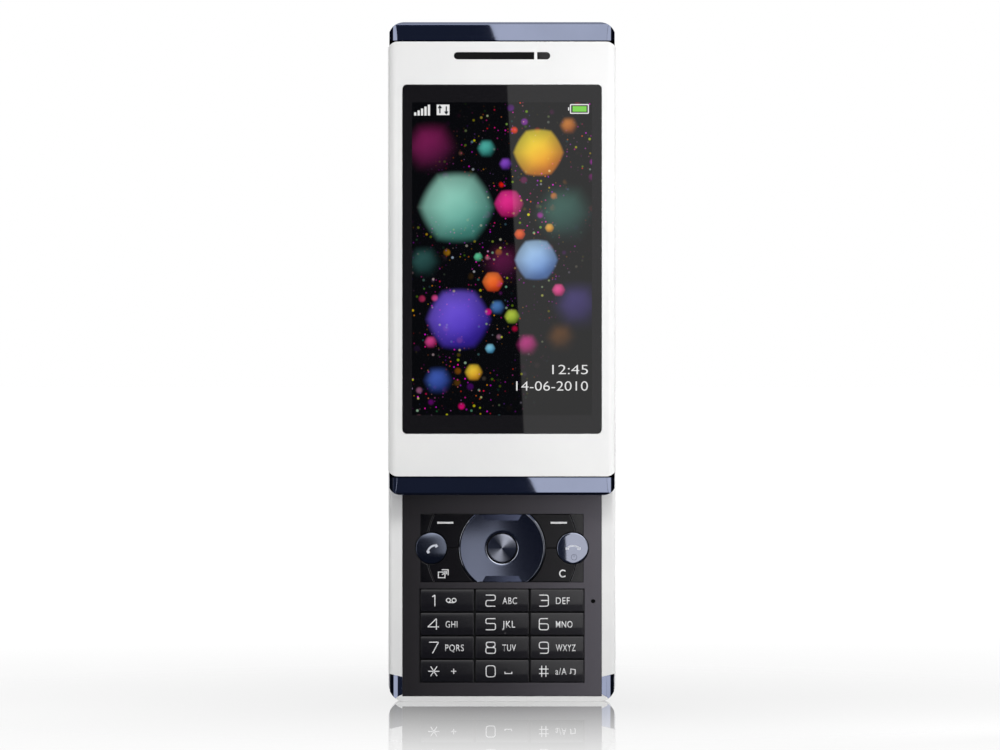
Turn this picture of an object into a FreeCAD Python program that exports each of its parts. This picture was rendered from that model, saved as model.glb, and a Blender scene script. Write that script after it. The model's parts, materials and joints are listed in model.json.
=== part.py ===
import FreeCAD, Part
import os

# Slider phone, slid open and standing on its lower end. Millimetres.
# X runs across the phone, Y from its face (minus) to its back (plus), Z up its length.
# Z = 0 is the foot of the lower half, X = 0 the middle, Y = 0 the middle of the thickness.

# Overall
phone_width = 50.0
slide_length = 103.6
slide_thickness = 5.6
slide_gap = 0.4            # between the two halves
body_thickness = 9.5
end_clearance = 0.3        # the lower half stands this much past the closed slide at each end
slide_travel = 45.2
fit_gap = 0.1              # around a piece that sits in a recess
running_gap = 0.15         # around a piece that slides in another
cut_margin = 1.0           # how far a cutting tool stands past what it cuts
same_place = 0.001         # two points nearer than this are one

# Outlines
slide_top_radius = 3.6
slide_bottom_radius = 2.8
body_corner_radius = 3.6
bezel_edge_radius = 2.0
rail_edge_radius = 1.0
housing_edge_radius = 2.5
housing_end_radius = 1.5

# Upper half
top_cap_height = 4.3
bottom_cap_height = 4.1
cap_corner_radius = 2.5    # bezel corner that a cap wraps round
cap_corner_overhang = 0.3
cap_step = 0.05            # cap face below the bezel face where they meet
cap_fall = 0.12            # further fall of a cap face at its far edge
cap_rim = 0.55             # chamfer at the end of a cap
cap_side_step = 0.3        # caps and corner trims stand this far inside the phone's sides
facet_insets = [1.75, 0.85, 0.0]
facet_falls = [0.0, 0.32, 1.5]
back_chamfer = 0.4
cap_wall = 1.2
bezel_wall = 1.6
bezel_face = 1.6
bezel_end_wall = 1.2
glass_side = 3.2           # from the phone's side to the glass
glass_from_bottom = 13.45
glass_from_top = 13.75
glass_radius = 1.0
glass_thickness = 0.8
module_side = 1.05         # from the glass's side to the display module
module_end = 1.9
module_thickness = 1.5
slide_board_side = 0.75    # from the module's side to the board's
slide_board_reach = 1.5    # the board stands this much past the module's ends
slide_board_thickness = 0.6
slot_side = 14.45          # from the phone's side to the earpiece slot
slot_height = 1.6
slot_from_top = 7.4
divider_from_end = 3.5
divider_width = 0.65
mesh_depth = 0.4
mesh_thickness = 0.25
earpiece_inset = 2.3       # from the end of its slot
earpiece_depth = 2.0
earpiece_height = 3.7
sensor_size = [5.2, 2.4, 3.7]
plate_thickness = 0.7
slide_screw_offset = 5.0   # inwards from a runner's middle
slide_screw_inset = 4.2
boss_radius = 1.9
screw_radius = 0.7
screw_head_radius = 1.4
screw_head_height = 0.5

# Slide mechanism
runner_inset = 6.0         # from the phone's side to a runner's middle
runner_bottom = 58.0
runner_length = 36.0
neck_width = 1.6
head_width = 4.0
head_thickness = 0.7
runner_base_width = 5.0
runner_base_thickness = 0.6
liner_wall = 0.5
pocket_margin = 1.5        # between the pocket and a runner's base
pocket_bottom = 50.0
pocket_top = 101.0
pocket_depth = 1.0
flex_margin = 2.0          # from the pocket's side
flex_width = 8.0
flex_thickness = 0.12
flex_lower_z = 61.3
flex_upper_z = 90.5
flex_loop_z = 93.4
flex_slot = 2.0
socket_side = 1.0          # a socket stands this much past the cable on each side
socket_height = 2.0
socket_depth = 0.6
spring_wire_radius = 0.3
spring_eye_radius = 1.1
spring_coil_radius = 2.6
spring_low_z = 75.0
spring_coil_z = 84.0
spring_high_z = 98.0
spring_low_inset = 12.0    # these three from the pocket's other side
spring_coil_inset = 5.6
spring_high_inset = 2.0
spring_pin_radius = 0.7

# Lower half
split_depth = 5.6          # front part of the lower half
body_wall = 1.6
deck_thickness = 1.8
rail_width = 3.05
panel_bottom = 1.1
panel_height = 46.4
panel_thickness = 0.9
keypad_frame = 1.95        # from the panel's side to the window behind it
keypad_window_bottom = 3.0
keypad_window_top = 46.0
trim_points = [[0.0, 1.55], [1.15, 0.95], [1.35, 0.6], [4.0, 0.6], [4.0, 6.35], [0.0, 5.4]]
trim_depth = 4.0
foot_gap = 0.05
mic_inset = 1.91           # from the panel's side
mic_z = 22.03
mic_port_radius = 0.45
mic_size = [2.0, 0.75, 2.4]

# Keys
key_proud = 0.05
key_thickness = 0.7
key_travel = 0.3
post_radius = 0.9
dome_radius = 2.0
dome_top_radius = 1.1
dome_height = 0.25
dome_sheet_thickness = 0.1
dome_slack = 0.05
keymat_thickness = 0.35
keymat_rim = 1.0
key_margin = 4.0           # from the panel's side to the keys
key_block_height = 15.07
key_block_z = 33.7
seam = 0.15
tile_thickness = 0.35
tile_arc_inset = 1.25      # from the key block's side
ring_radius = 9.5
ring_hole_radius = 3.45
ring_flat = 7.4
ring_dish_radius = 110.0   # of the ring's hollow face
ring_tilt_gap = 0.2
ring_post_radius = 0.7
ring_post_reach = 6.6
notch_half_width = 3.8
notch_height = 1.3
notch_depth = 0.35
select_radius = 3.15
round_key_inset = 2.4      # from the key block's side to a round key's middle
round_key_radius = 3.45
soft_post_inset = 7.35     # from the key block's side
soft_post_rise = 5.2
number_top = 24.8
number_pitch_z = 5.18
number_gap_x = 0.4
number_gap_z = 0.25
number_crown = 0.12
side_key_thickness = 1.6
side_key_recess = 0.5
side_key_scoop = 1.6       # length of the finger recess past the key's end
side_key_proud = 0.45
side_key_play = 0.4        # behind the wall, for the key to rock or be pressed
side_flange = 0.8
side_flange_thickness = 0.5
volume_z = 84.0
volume_length = 16.0
camera_key_z = 64.0
camera_key_length = 8.0

# Inside the lower half
board_thickness = 0.8
board_gap = 0.05
cover_thickness = 1.0
cover_side = 4.0           # from the phone's side to the cover
cover_overlap = 8.0        # the cover stands this much past each end of the battery
cover_radius = 3.0
ledge_thickness = 0.8
battery_side = 2.5         # from the cover's side to the battery
battery_thickness = 4.8
battery_height = 50.0
battery_bottom = 14.0
battery_gap = 0.15
bay_wall = 0.6
sim_size = [20.0, 0.7, 17.0]
sim_x = -5.0
sim_bottom = 20.0
contact_size = [11.0, 3.4, 2.0]
can_depth = 1.6
can_side = 2.45            # from the side wall to a can
can_split = 2.9            # between the two cans
can_gap = 1.0              # above the battery contacts and below the camera
antenna_side = 2.4         # from the side wall
antenna_depth = 4.0
antenna_height = 8.4
antenna_bottom = 2.2
antenna_wall = 0.8
camera_from_top = 17.1
camera_size = [9.0, 5.2, 9.0]
camera_barrel_radius = 3.2
camera_window_radius = 3.5
camera_trim_size = [31.0, 0.6, 13.0]
camera_trim_radius = 5.0
camera_glass_thickness = 0.5
flash_x = 9.0
flash_size = [3.2, 0.8, 5.0]
speaker_size = [15.0, 3.4, 5.4]
speaker_from_top = 5.0
speaker_slots = 7
speaker_slot_size = [1.0, 3.4]
speaker_slot_pitch = 1.9
connector_z = 76.0
connector_size = [3.4, 2.3, 12.0]
connector_shell = 0.3
connector_tongue = 0.5
connector_tongue_end = 1.2
body_screw_inset = 4.0     # from the phone's side
body_screw_low = 53.0
body_screw_from_top = 5.6
body_screw_head_radius = 1.4
body_boss_radius = 1.9
board_hole_radius = 1.0
screw_reach = 1.5

# Planes across the thickness
half_width = phone_width / 2
facet_half = half_width - cap_side_step
slide_front = -(slide_thickness + slide_gap + body_thickness) / 2
slide_back = slide_front + slide_thickness
body_front = slide_back + slide_gap
body_back = body_front + body_thickness
split_y = body_front + split_depth
plate_front = slide_back - plate_thickness
glass_back = slide_front + glass_thickness
module_back = glass_back + module_thickness
slide_board_back = module_back + slide_board_thickness
face_back = slide_front + bezel_face
panel_back = body_front + panel_thickness
pocket_floor = body_front + pocket_depth
deck_back = body_front + deck_thickness
board_front = deck_back + board_gap
board_back = board_front + board_thickness
sheet_front = board_front - dome_sheet_thickness
dome_front = sheet_front - dome_height
post_end = dome_front - key_travel - dome_slack
key_front = body_front - key_proud
key_back = key_front + key_thickness
keymat_front = key_back + key_travel + dome_slack
cover_front = body_back - cover_thickness
ledge_front = cover_front - ledge_thickness
battery_back = cover_front - battery_gap
battery_front = battery_back - battery_thickness
side_key_y = board_back + side_flange_thickness + side_key_thickness / 2

# Heights
body_length = slide_length + 2 * end_clearance
slide_bottom = end_clearance + slide_travel
slide_top = slide_bottom + slide_length
bezel_bottom = slide_bottom + bottom_cap_height
bezel_top = slide_top - top_cap_height
glass_bottom = slide_bottom + glass_from_bottom
glass_top = slide_top - glass_from_top
glass_mid = (glass_bottom + glass_top) / 2
module_height = glass_top - glass_bottom - 2 * module_end
slide_board_height = module_height + 2 * slide_board_reach
slot_z = slide_top - slot_from_top
plate_bottom = bezel_bottom + bezel_end_wall
plate_top = bezel_top - bezel_end_wall
runner_top = runner_bottom + runner_length
battery_top = battery_bottom + battery_height
cover_bottom = battery_bottom - cover_overlap
cover_top = battery_top + cover_overlap
camera_z = body_length - camera_from_top
speaker_z = body_length - speaker_from_top
can_bottom = battery_top + contact_size[2] + can_gap
can_top = camera_z - camera_size[2] / 2 - can_gap

# Across the width
cavity_half = half_width - body_wall
slide_cavity_half = half_width - bezel_wall
glass_half = half_width - glass_side
slot_width = 2 * (half_width - slot_side)
divider_left = slot_width / 2 - divider_from_end
divider_right = divider_left + divider_width
slot_ends = [-slot_width / 2, divider_left]
sensor_ends = [divider_right, slot_width / 2]
module_width = 2 * (glass_half - module_side)
slide_board_width = module_width - 2 * slide_board_side
panel_half = half_width - rail_width
keypad_window_half = panel_half - keypad_frame
mic_x = panel_half - mic_inset
key_block_width = 2 * (panel_half - key_margin)
tile_arc_radius = key_block_width / 2 - tile_arc_inset
round_key_x = key_block_width / 2 - round_key_inset
soft_post_x = key_block_width / 2 - soft_post_inset
number_pitch_x = (key_block_width + number_gap_x) / 3
runner_x = half_width - runner_inset
slide_screw_x = runner_x - slide_screw_offset
body_screw_x = half_width - body_screw_inset
pocket_half_width = runner_x - runner_base_width / 2 - pocket_margin
flex_x = flex_margin + flex_width / 2 - pocket_half_width
spring_low = [pocket_half_width - spring_low_inset, spring_low_z]
spring_coil = [pocket_half_width - spring_coil_inset, spring_coil_z]
spring_high = [pocket_half_width - spring_high_inset, spring_high_z]
cover_half_width = half_width - cover_side
battery_width = 2 * (cover_half_width - battery_side)
can_width = cavity_half - can_side - can_split / 2
antenna_width = 2 * (cavity_half - antenna_side)

# Runners in their channels, and where screws and keys stand
head_back = slide_back - plate_thickness - running_gap
head_front = head_back - head_thickness
channel_front = head_front - running_gap
liner_front = channel_front - liner_wall
slide_screws_at = [[x, z] for x in (-slide_screw_x, slide_screw_x)
                   for z in (plate_bottom + slide_screw_inset, plate_top - slide_screw_inset)]
body_screws_at = [[x, z] for x in (-body_screw_x, body_screw_x)
                  for z in (body_screw_low, body_length - body_screw_from_top)]
number_rows = [["key_1", "key_2", "key_3"], ["key_4", "key_5", "key_6"],
               ["key_7", "key_8", "key_9"], ["key_star", "key_0", "key_hash"]]
soft_keys = {"key_soft_left": [-1, 1], "key_soft_right": [1, 1], "key_menu": [-1, -1], "key_clear": [1, -1]}
round_keys = {"key_call": -round_key_x, "key_end": round_key_x}


def vector(x, y, z):
    return FreeCAD.Vector(x, y, z)


def block(x0, x1, y0, y1, z0, z1):
    return Part.makeBox(x1 - x0, y1 - y0, z1 - z0, vector(x0, y0, z0))


def block_at(x, z, y0, size):
    # size is width, depth, height; x and z are its middle and y0 its front
    width, depth, height = size
    return block(x - width / 2, x + width / 2, y0, y0 + depth, z - height / 2, z + height / 2)


def disc(x, z, radius, y0, y1):
    return Part.makeCylinder(radius, y1 - y0, vector(x, y0, z), vector(0, 1, 0))


def edges_along(shape, direction, wanted):
    found = []
    for edge in shape.Edges:
        tangent = edge.tangentAt(edge.FirstParameter)
        if abs(tangent.dot(direction)) > 0.99 and wanted(edge.CenterOfMass):
            found.append(edge)
    return found


def plate(x0, x1, y0, y1, z0, z1, low_radius, high_radius):
    # a flat plate facing Y with rounded corners, of one radius below and another above
    middle = (z0 + z1) / 2
    shape = block(x0, x1, y0, y1, z0, z1)
    shape = shape.makeFillet(low_radius, edges_along(shape, vector(0, 1, 0), lambda p: p.z < middle))
    return shape.makeFillet(high_radius, edges_along(shape, vector(0, 1, 0), lambda p: p.z > middle))


def prism_y(points, y0, y1):
    # points are (x, z) corners, extruded from y0 to y1
    wire = Part.makePolygon([vector(x, y0, z) for x, z in points + points[:1]])
    return Part.Face(wire).extrude(vector(0, y1 - y0, 0))


def arc_edge(first, middle, last):
    return Part.Arc(first, middle, last).toShape()


def line_edge(first, last):
    return Part.LineSegment(first, last).toShape()


# ---- Upper half ----

def slide_outline(y0, y1):
    return plate(-half_width, half_width, y0, y1, slide_bottom, slide_top,
                 slide_bottom_radius, slide_top_radius)


def bezel_footprint(y0, y1):
    # a little wider than the phone, so that each cap's tip ends at an angle
    wide = half_width + cap_corner_overhang
    return plate(-wide, wide, y0, y1, bezel_bottom, bezel_top, cap_corner_radius, cap_corner_radius)


def faceted_bar(y0, y1, z0, z1, rear_chamfer):
    # as wide as the caps, with facets down both front edges
    steps = list(zip(facet_insets, facet_falls))
    right = [[facet_half - inset, y0 + fall] for inset, fall in steps]
    right += [[facet_half, y1 - rear_chamfer], [facet_half - rear_chamfer, y1]]
    left = [[-x, y] for x, y in reversed(right)]
    corners = [vector(x, y, z0) for x, y in right + left + right[:1]]
    return Part.Face(Part.makePolygon(corners)).extrude(vector(0, 0, z1 - z0))


def rounded_bar(y0, y1, z0, z1, front_radius, rear_radius):
    shape = block(-half_width, half_width, y0, y1, z0, z1)
    if front_radius:
        front = y0 + same_place
        shape = shape.makeFillet(front_radius, edges_along(shape, vector(0, 0, 1), lambda p: p.y < front))
    if rear_radius:
        middle = (y0 + y1) / 2
        shape = shape.makeFillet(rear_radius, edges_along(shape, vector(0, 0, 1), lambda p: p.y > middle))
    return shape


def slot_opening(x0, x1, y0, y1, shrink):
    # the part of the earpiece slot between x0 and x1; the slot's own ends are round
    end = (slot_width - slot_height) / 2
    radius = slot_height / 2 - shrink
    whole = block(-end, end, y0, y1, slot_z - radius, slot_z + radius)
    whole = whole.fuse([disc(-end, slot_z, radius, y0, y1), disc(end, slot_z, radius, y0, y1)])
    keep = block(x0 + shrink, x1 - shrink, y0, y1, slot_z - slot_height, slot_z + slot_height)
    return whole.common(keep).removeSplitter()


def slide_bezel():
    outer = rounded_bar(slide_front, slide_back, bezel_bottom, bezel_top, bezel_edge_radius, back_chamfer)
    shape = outer.common(bezel_footprint(slide_front, slide_back))
    cavity = block(-slide_cavity_half, slide_cavity_half, face_back, slide_back + cut_margin,
                   plate_bottom, plate_top)
    half_glass = glass_half + foot_gap
    recess = plate(-half_glass, half_glass, slide_front - cut_margin, glass_back,
                   glass_bottom - foot_gap, glass_top + foot_gap, glass_radius, glass_radius)
    window = block_at(0, glass_mid, slide_front, [module_width + 2 * fit_gap, bezel_face + cut_margin,
                                                  module_height + 2 * fit_gap])
    shape = shape.cut([cavity, recess, window])
    for ends in (slot_ends, sensor_ends):
        shape = shape.cut(slot_opening(ends[0], ends[1], slide_front - cut_margin, face_back + cut_margin, 0))
    for x, z in slide_screws_at:
        shape = shape.fuse(disc(x, z, boss_radius, face_back, plate_front))
        shape = shape.cut(disc(x, z, screw_radius, face_back, plate_front))
    return shape.removeSplitter()


def display_glass():
    return plate(-glass_half, glass_half, slide_front, glass_back, glass_bottom, glass_top,
                 glass_radius, glass_radius)


def display_module():
    return block_at(0, glass_mid, glass_back, [module_width, module_thickness, module_height])


def display_board():
    size = [slide_board_width, slide_board_thickness, slide_board_height]
    socket_size = [flex_width + 2 * socket_side, socket_depth, socket_height]
    shape = block_at(0, glass_mid, module_back, size)
    socket = block_at(flex_x, flex_upper_z, slide_board_back, socket_size)
    return shape.fuse(socket).removeSplitter()


def end_caps():
    # both caps at once: the slide's outline, faceted at its sides and rolled at its ends, less the bezel
    face = slide_front + cap_step
    low, high = slide_bottom, slide_top
    edge_y = face + cap_fall
    rim_y = edge_y + cap_rim
    mid_y = face + cap_fall / 4
    left = -half_width
    high_rim, low_rim = vector(left, rim_y, high), vector(left, rim_y, low)
    high_edge, low_edge = vector(left, edge_y, high - cap_rim), vector(left, edge_y, low + cap_rim)
    high_face, low_face = vector(left, face, bezel_top), vector(left, face, bezel_bottom)
    high_back, low_back = vector(left, slide_back, high), vector(left, slide_back, low)
    high_mid = vector(left, mid_y, (bezel_top + high - cap_rim) / 2)
    low_mid = vector(left, mid_y, (bezel_bottom + low + cap_rim) / 2)
    edges = [
        line_edge(high_rim, high_edge),
        arc_edge(high_edge, high_mid, high_face),
        line_edge(high_face, low_face),
        arc_edge(low_face, low_mid, low_edge),
        line_edge(low_edge, low_rim),
        line_edge(low_rim, low_back),
        line_edge(low_back, high_back),
        line_edge(high_back, high_rim)]
    rolled = Part.Face(Part.Wire(edges)).extrude(vector(phone_width, 0, 0))
    shape = slide_outline(slide_front, slide_back).common(rolled)
    shape = shape.common(faceted_bar(face, slide_back, low, high, back_chamfer))
    shape = shape.cut(bezel_footprint(slide_front - cut_margin, slide_back + cut_margin))
    hollow_half = half_width - slide_top_radius
    for z0, z1 in ((low + cap_wall, bezel_bottom), (bezel_top, high - cap_wall)):
        shape = shape.cut(block(-hollow_half, hollow_half, face_back, plate_front, z0, z1))
    return shape.Solids


def top_end_cap():
    return max(end_caps(), key=lambda solid: solid.CenterOfMass.z)


def bottom_end_cap():
    return min(end_caps(), key=lambda solid: solid.CenterOfMass.z)


def earpiece():
    width = slot_ends[1] - slot_ends[0] - 2 * earpiece_inset
    return block_at(sum(slot_ends) / 2, slot_z, face_back, [width, earpiece_depth, earpiece_height])


def earpiece_mesh():
    front = slide_front + mesh_depth
    return slot_opening(slot_ends[0], slot_ends[1], front, front + mesh_thickness, foot_gap)


def front_sensor():
    body = block_at(sum(sensor_ends) / 2, slot_z, face_back, sensor_size)
    nose = slot_opening(sensor_ends[0], sensor_ends[1], slide_front + mesh_depth, face_back, foot_gap)
    return body.fuse(nose).removeSplitter()


def runner_channel(x, half, y0, y1, allowance):
    # the length that a runner sweeps as the slide travels
    low = runner_bottom - end_clearance - allowance
    high = runner_top + slide_travel + end_clearance + allowance
    return block(x - half, x + half, y0, y1, low, high)


def track_plate():
    half = slide_cavity_half - fit_gap
    shape = block(-half, half, plate_front, slide_back, plate_bottom + fit_gap, plate_top - fit_gap)
    for x in (-runner_x, runner_x):
        shape = shape.cut(runner_channel(x, neck_width / 2 + running_gap, plate_front, slide_back, 0))
    slot = block_at(flex_x, flex_upper_z, plate_front, [flex_width + 2 * fit_gap, plate_thickness, flex_slot])
    shape = shape.cut(slot)
    for x, z in slide_screws_at:
        shape = shape.cut(disc(x, z, screw_radius, plate_front, slide_back))
        shape = shape.cut(disc(x, z, screw_head_radius, slide_back - screw_head_height, slide_back))
    pin_x, pin_z = spring_high
    pin = disc(pin_x, pin_z, spring_pin_radius, plate_front, pocket_floor - fit_gap)
    return shape.fuse(pin).removeSplitter()


def rail_liners():
    liners = []
    for x in (-runner_x, runner_x):
        half = head_width / 2 + running_gap
        outer = runner_channel(x, half + liner_wall, liner_front, plate_front, liner_wall)
        liners.append(outer.cut(runner_channel(x, half, channel_front, plate_front, 0)))
    return Part.Compound(liners)


def slide_screws():
    screws = []
    for x, z in slide_screws_at:
        head = disc(x, z, screw_head_radius, slide_back - screw_head_height, slide_back)
        shank = disc(x, z, screw_radius, face_back + screw_reach, slide_back)
        screws.append(head.fuse(shank).removeSplitter())
    return Part.Compound(screws)


# ---- Slide mechanism on the lower half ----

def slide_runners():
    runners = []
    for x in (-runner_x, runner_x):
        head = block(x - head_width / 2, x + head_width / 2, head_front, head_back, runner_bottom, runner_top)
        neck = block(x - neck_width / 2, x + neck_width / 2, head_back, body_front, runner_bottom, runner_top)
        base = block(x - runner_base_width / 2, x + runner_base_width / 2,
                     body_front, body_front + runner_base_thickness, runner_bottom, runner_top)
        runners.append(head.fuse([neck, base]).removeSplitter())
    return Part.Compound(runners)


def slide_spring():
    # two eyes and a coil of flat-lying wire, joined by its straight arms
    wire_y = pocket_floor - fit_gap - spring_wire_radius
    places = [vector(point[0], wire_y, point[1]) for point in (spring_low, spring_coil, spring_high)]
    radii = [spring_eye_radius, spring_coil_radius, spring_eye_radius]
    across = vector(0, 1, 0)
    rings = [Part.makeTorus(radius, spring_wire_radius, place, across)
             for place, radius in zip(places, radii)]
    arms = []
    for first, last, first_radius, last_radius in (
            (places[0], places[1], radii[0], radii[1]), (places[1], places[2], radii[1], radii[2])):
        run = last - first
        run.normalize()
        start = first + run * first_radius
        length = (last - first).Length - first_radius - last_radius
        arms.append(Part.makeCylinder(spring_wire_radius, length, start, run))
    return rings[0].fuse(rings[1:] + arms).removeSplitter()


def slide_flex():
    # a flat cable: out of the lower socket, up, over in a loop, down and into the upper socket
    half = flex_width / 2
    thin = flex_thickness / 2
    upper_y = (slide_back + body_front) / 2
    lower_y = pocket_floor - (pocket_floor - body_front) / 3
    loop_radius = (lower_y - upper_y) / 2
    loop_y = (lower_y + upper_y) / 2
    x0, x1 = flex_x - half, flex_x + half
    loop_start, across = vector(x0, loop_y, flex_loop_z), vector(1, 0, 0)
    outer = Part.makeCylinder(loop_radius + thin, flex_width, loop_start, across)
    inner = Part.makeCylinder(loop_radius - thin, flex_width, loop_start, across)
    above = block(x0, x1, upper_y - cut_margin, lower_y + cut_margin, flex_loop_z,
                  flex_loop_z + loop_radius + cut_margin)
    pieces = [
        block(x0, x1, lower_y + thin, board_front - socket_depth, flex_lower_z - thin, flex_lower_z + thin),
        block(x0, x1, lower_y - thin, lower_y + thin, flex_lower_z - thin, flex_loop_z),
        outer.cut(inner).common(above),
        block(x0, x1, upper_y - thin, upper_y + thin, flex_upper_z - thin, flex_loop_z),
        block(x0, x1, slide_board_back + socket_depth, upper_y - thin,
              flex_upper_z - thin, flex_upper_z + thin)]
    return pieces[0].fuse(pieces[1:]).removeSplitter()


# ---- Lower half ----

def body_outline(y0, y1, z0, z1):
    return plate(-half_width, half_width, y0, y1, z0, z1, body_corner_radius, body_corner_radius)


def trim_region(side, y1):
    points = [[side * (panel_half + x), z] for x, z in trim_points]
    return prism_y(points, body_front - cut_margin, y1)


def board_cavity(y0, y1):
    return block(-cavity_half, cavity_half, y0, y1, body_wall, body_length - body_wall)


def side_key_window(z, length, grow):
    depth = side_key_thickness / 2 + grow
    high = length / 2 + grow
    return block(cavity_half - cut_margin, half_width + cut_margin, side_key_y - depth, side_key_y + depth,
                 z - high, z + high)


def lower_chassis():
    shape = rounded_bar(body_front, split_y, 0, body_length, rail_edge_radius, 0)
    shape = shape.common(body_outline(body_front, split_y, 0, body_length))
    keypad_window = block(-keypad_window_half, keypad_window_half, body_front, deck_back + cut_margin,
                          keypad_window_bottom, keypad_window_top)
    panel_recess = block(-panel_half, panel_half, body_front - cut_margin, panel_back,
                         panel_bottom, panel_bottom + panel_height)
    pocket = block(-pocket_half_width, pocket_half_width, body_front - cut_margin, pocket_floor,
                   pocket_bottom, pocket_top)
    flex_hole = block_at(flex_x, flex_lower_z, pocket_floor,
                         [flex_width + 4 * socket_side, deck_thickness, socket_height + 2 * fit_gap])
    shape = shape.cut([board_cavity(deck_back, split_y + cut_margin), keypad_window, panel_recess, pocket,
                       flex_hole])
    shape = shape.cut([trim_region(side, body_front + trim_depth) for side in (-1, 1)])
    for x in (-runner_x, runner_x):
        shape = shape.cut(block(x - runner_base_width / 2, x + runner_base_width / 2, body_front - cut_margin,
                                body_front + runner_base_thickness, runner_bottom, runner_top))
    for x, z in body_screws_at:
        shape = shape.cut(disc(x, z, body_screw_head_radius, body_front - cut_margin,
                               body_front + screw_head_height))
        shape = shape.cut(disc(x, z, screw_radius, body_front, deck_back))
    shape = shape.cut(disc(mic_x, mic_z, mic_port_radius, panel_back, deck_back))
    shape = shape.cut(block_at(mic_x + mic_size[0] / 4, mic_z, board_front - mic_size[1], mic_size))
    for z, length in ((volume_z, volume_length), (camera_key_z, camera_key_length)):
        shape = shape.cut(side_key_window(z, length, running_gap))
        reach = length / 2 + side_key_scoop
        scoop = block(half_width - side_key_recess, half_width + cut_margin,
                      side_key_y - side_key_thickness, split_y - fit_gap, z - reach, z + reach)
        shape = shape.cut(scoop)
    shape = shape.cut(connector_window())
    low_x, low_z = spring_low
    return shape.fuse(disc(low_x, low_z, spring_pin_radius, body_front, pocket_floor)).removeSplitter()


def connector_window():
    width, depth, height = connector_size
    return block(-half_width - cut_margin, -cavity_half, board_back, board_back + depth,
                 connector_z - height / 2, connector_z + height / 2)


def corner_trims():
    trims = []
    trim_back = body_front + trim_depth
    form = faceted_bar(body_front, trim_back, 0, body_length, 0)
    form = form.common(body_outline(body_front, trim_back, 0, body_length))
    for side in (-1, 1):
        trim = form.common(trim_region(side, trim_back))
        trims.append(trim.cut(board_cavity(deck_back, trim_back)).removeSplitter())
    return Part.Compound(trims)


def key_block_region(y0, y1, shrink):
    half = key_block_width / 2 - shrink
    high = key_block_height / 2 - shrink
    return block(-half, half, y0, y1, key_block_z - high, key_block_z + high)


def round_key_wells(y0, y1, gap):
    return [disc(x, key_block_z, round_key_radius + gap, y0, y1) for x in round_keys.values()]


def corner_tile_region(y0, y1, gap):
    region = key_block_region(y0, y1, gap)
    wells = round_key_wells(y0, y1, seam + gap)
    return region.cut([disc(0, key_block_z, tile_arc_radius + gap, y0, y1)] + wells)


def number_window(y0, y1):
    half = number_pitch_x * 3 / 2
    return block(-half, half, y0, y1, number_top - number_pitch_z * len(number_rows), number_top)


def keypad_panel():
    half = panel_half - foot_gap
    front, back = body_front, panel_back
    through = front - cut_margin, back + cut_margin
    shape = block(-half, half, front, back, panel_bottom + foot_gap, panel_bottom + panel_height - foot_gap)
    keys = key_block_region(through[0], through[1], 0).common(
        disc(0, key_block_z, tile_arc_radius, through[0], through[1]))
    wells = round_key_wells(through[0], through[1], seam)
    shape = shape.cut([keys, number_window(through[0], through[1])] + wells)
    shape = shape.cut(corner_tile_region(through[0], front + tile_thickness, 0))
    return shape.cut(disc(mic_x, mic_z, mic_port_radius, through[0], through[1])).removeSplitter()


def corner_tiles():
    return corner_tile_region(body_front, body_front + tile_thickness, foot_gap)


def key_post(x, z, radius):
    return disc(x, z, radius, key_back, post_end)


def number_key(column, row):
    # a crowned cap with a post behind it
    x = (column - 1) * number_pitch_x
    z = number_top - (row + 0.5) * number_pitch_z
    half = (number_pitch_x - number_gap_x) / 2
    high = (number_pitch_z - number_gap_z) / 2
    edge_y = key_front + number_crown
    left = x - half
    edges = [
        arc_edge(vector(left, edge_y, z - high), vector(left, key_front, z), vector(left, edge_y, z + high)),
        line_edge(vector(left, edge_y, z + high), vector(left, key_back, z + high)),
        line_edge(vector(left, key_back, z + high), vector(left, key_back, z - high)),
        line_edge(vector(left, key_back, z - high), vector(left, edge_y, z - high))]
    cap = Part.Face(Part.Wire(edges)).extrude(vector(2 * half, 0, 0))
    return cap.fuse(key_post(x, z, post_radius)).removeSplitter()


def soft_key(side, level):
    # one quarter of the key block between the ring and the tile seam
    quarter_x = sorted([0, side * key_block_width])
    quarter_z = sorted([key_block_z + level * seam / 2, key_block_z + level * key_block_height])
    quarter = block(quarter_x[0], quarter_x[1], key_front, key_back, quarter_z[0], quarter_z[1])
    cap = key_block_region(key_front, key_back, seam).common(quarter)
    cap = cap.common(disc(0, key_block_z, tile_arc_radius - seam, key_front, key_back))
    cap = cap.cut([disc(0, key_block_z, ring_radius + ring_tilt_gap, key_front, key_back)]
                  + round_key_wells(key_front, key_back, seam))
    post = key_post(side * soft_post_x, key_block_z + level * soft_post_rise, post_radius)
    return cap.fuse(post).removeSplitter()


def round_key(x):
    cap = disc(x, key_block_z, round_key_radius, key_front, key_back)
    return cap.fuse(key_post(x, key_block_z, post_radius)).removeSplitter()


def ring_notch(level):
    # a sloping finger notch in the ring's upper or lower edge
    edge = key_block_z + level * ring_flat
    left = -notch_half_width
    corners = [vector(left, key_front - cut_margin, edge + level * cut_margin),
               vector(left, key_front - cut_margin, edge - level * notch_height),
               vector(left, key_front, edge - level * notch_height),
               vector(left, key_front + notch_depth, edge),
               vector(left, key_front + notch_depth, edge + level * cut_margin)]
    return Part.Face(Part.makePolygon(corners + corners[:1])).extrude(vector(2 * notch_half_width, 0, 0))


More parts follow.
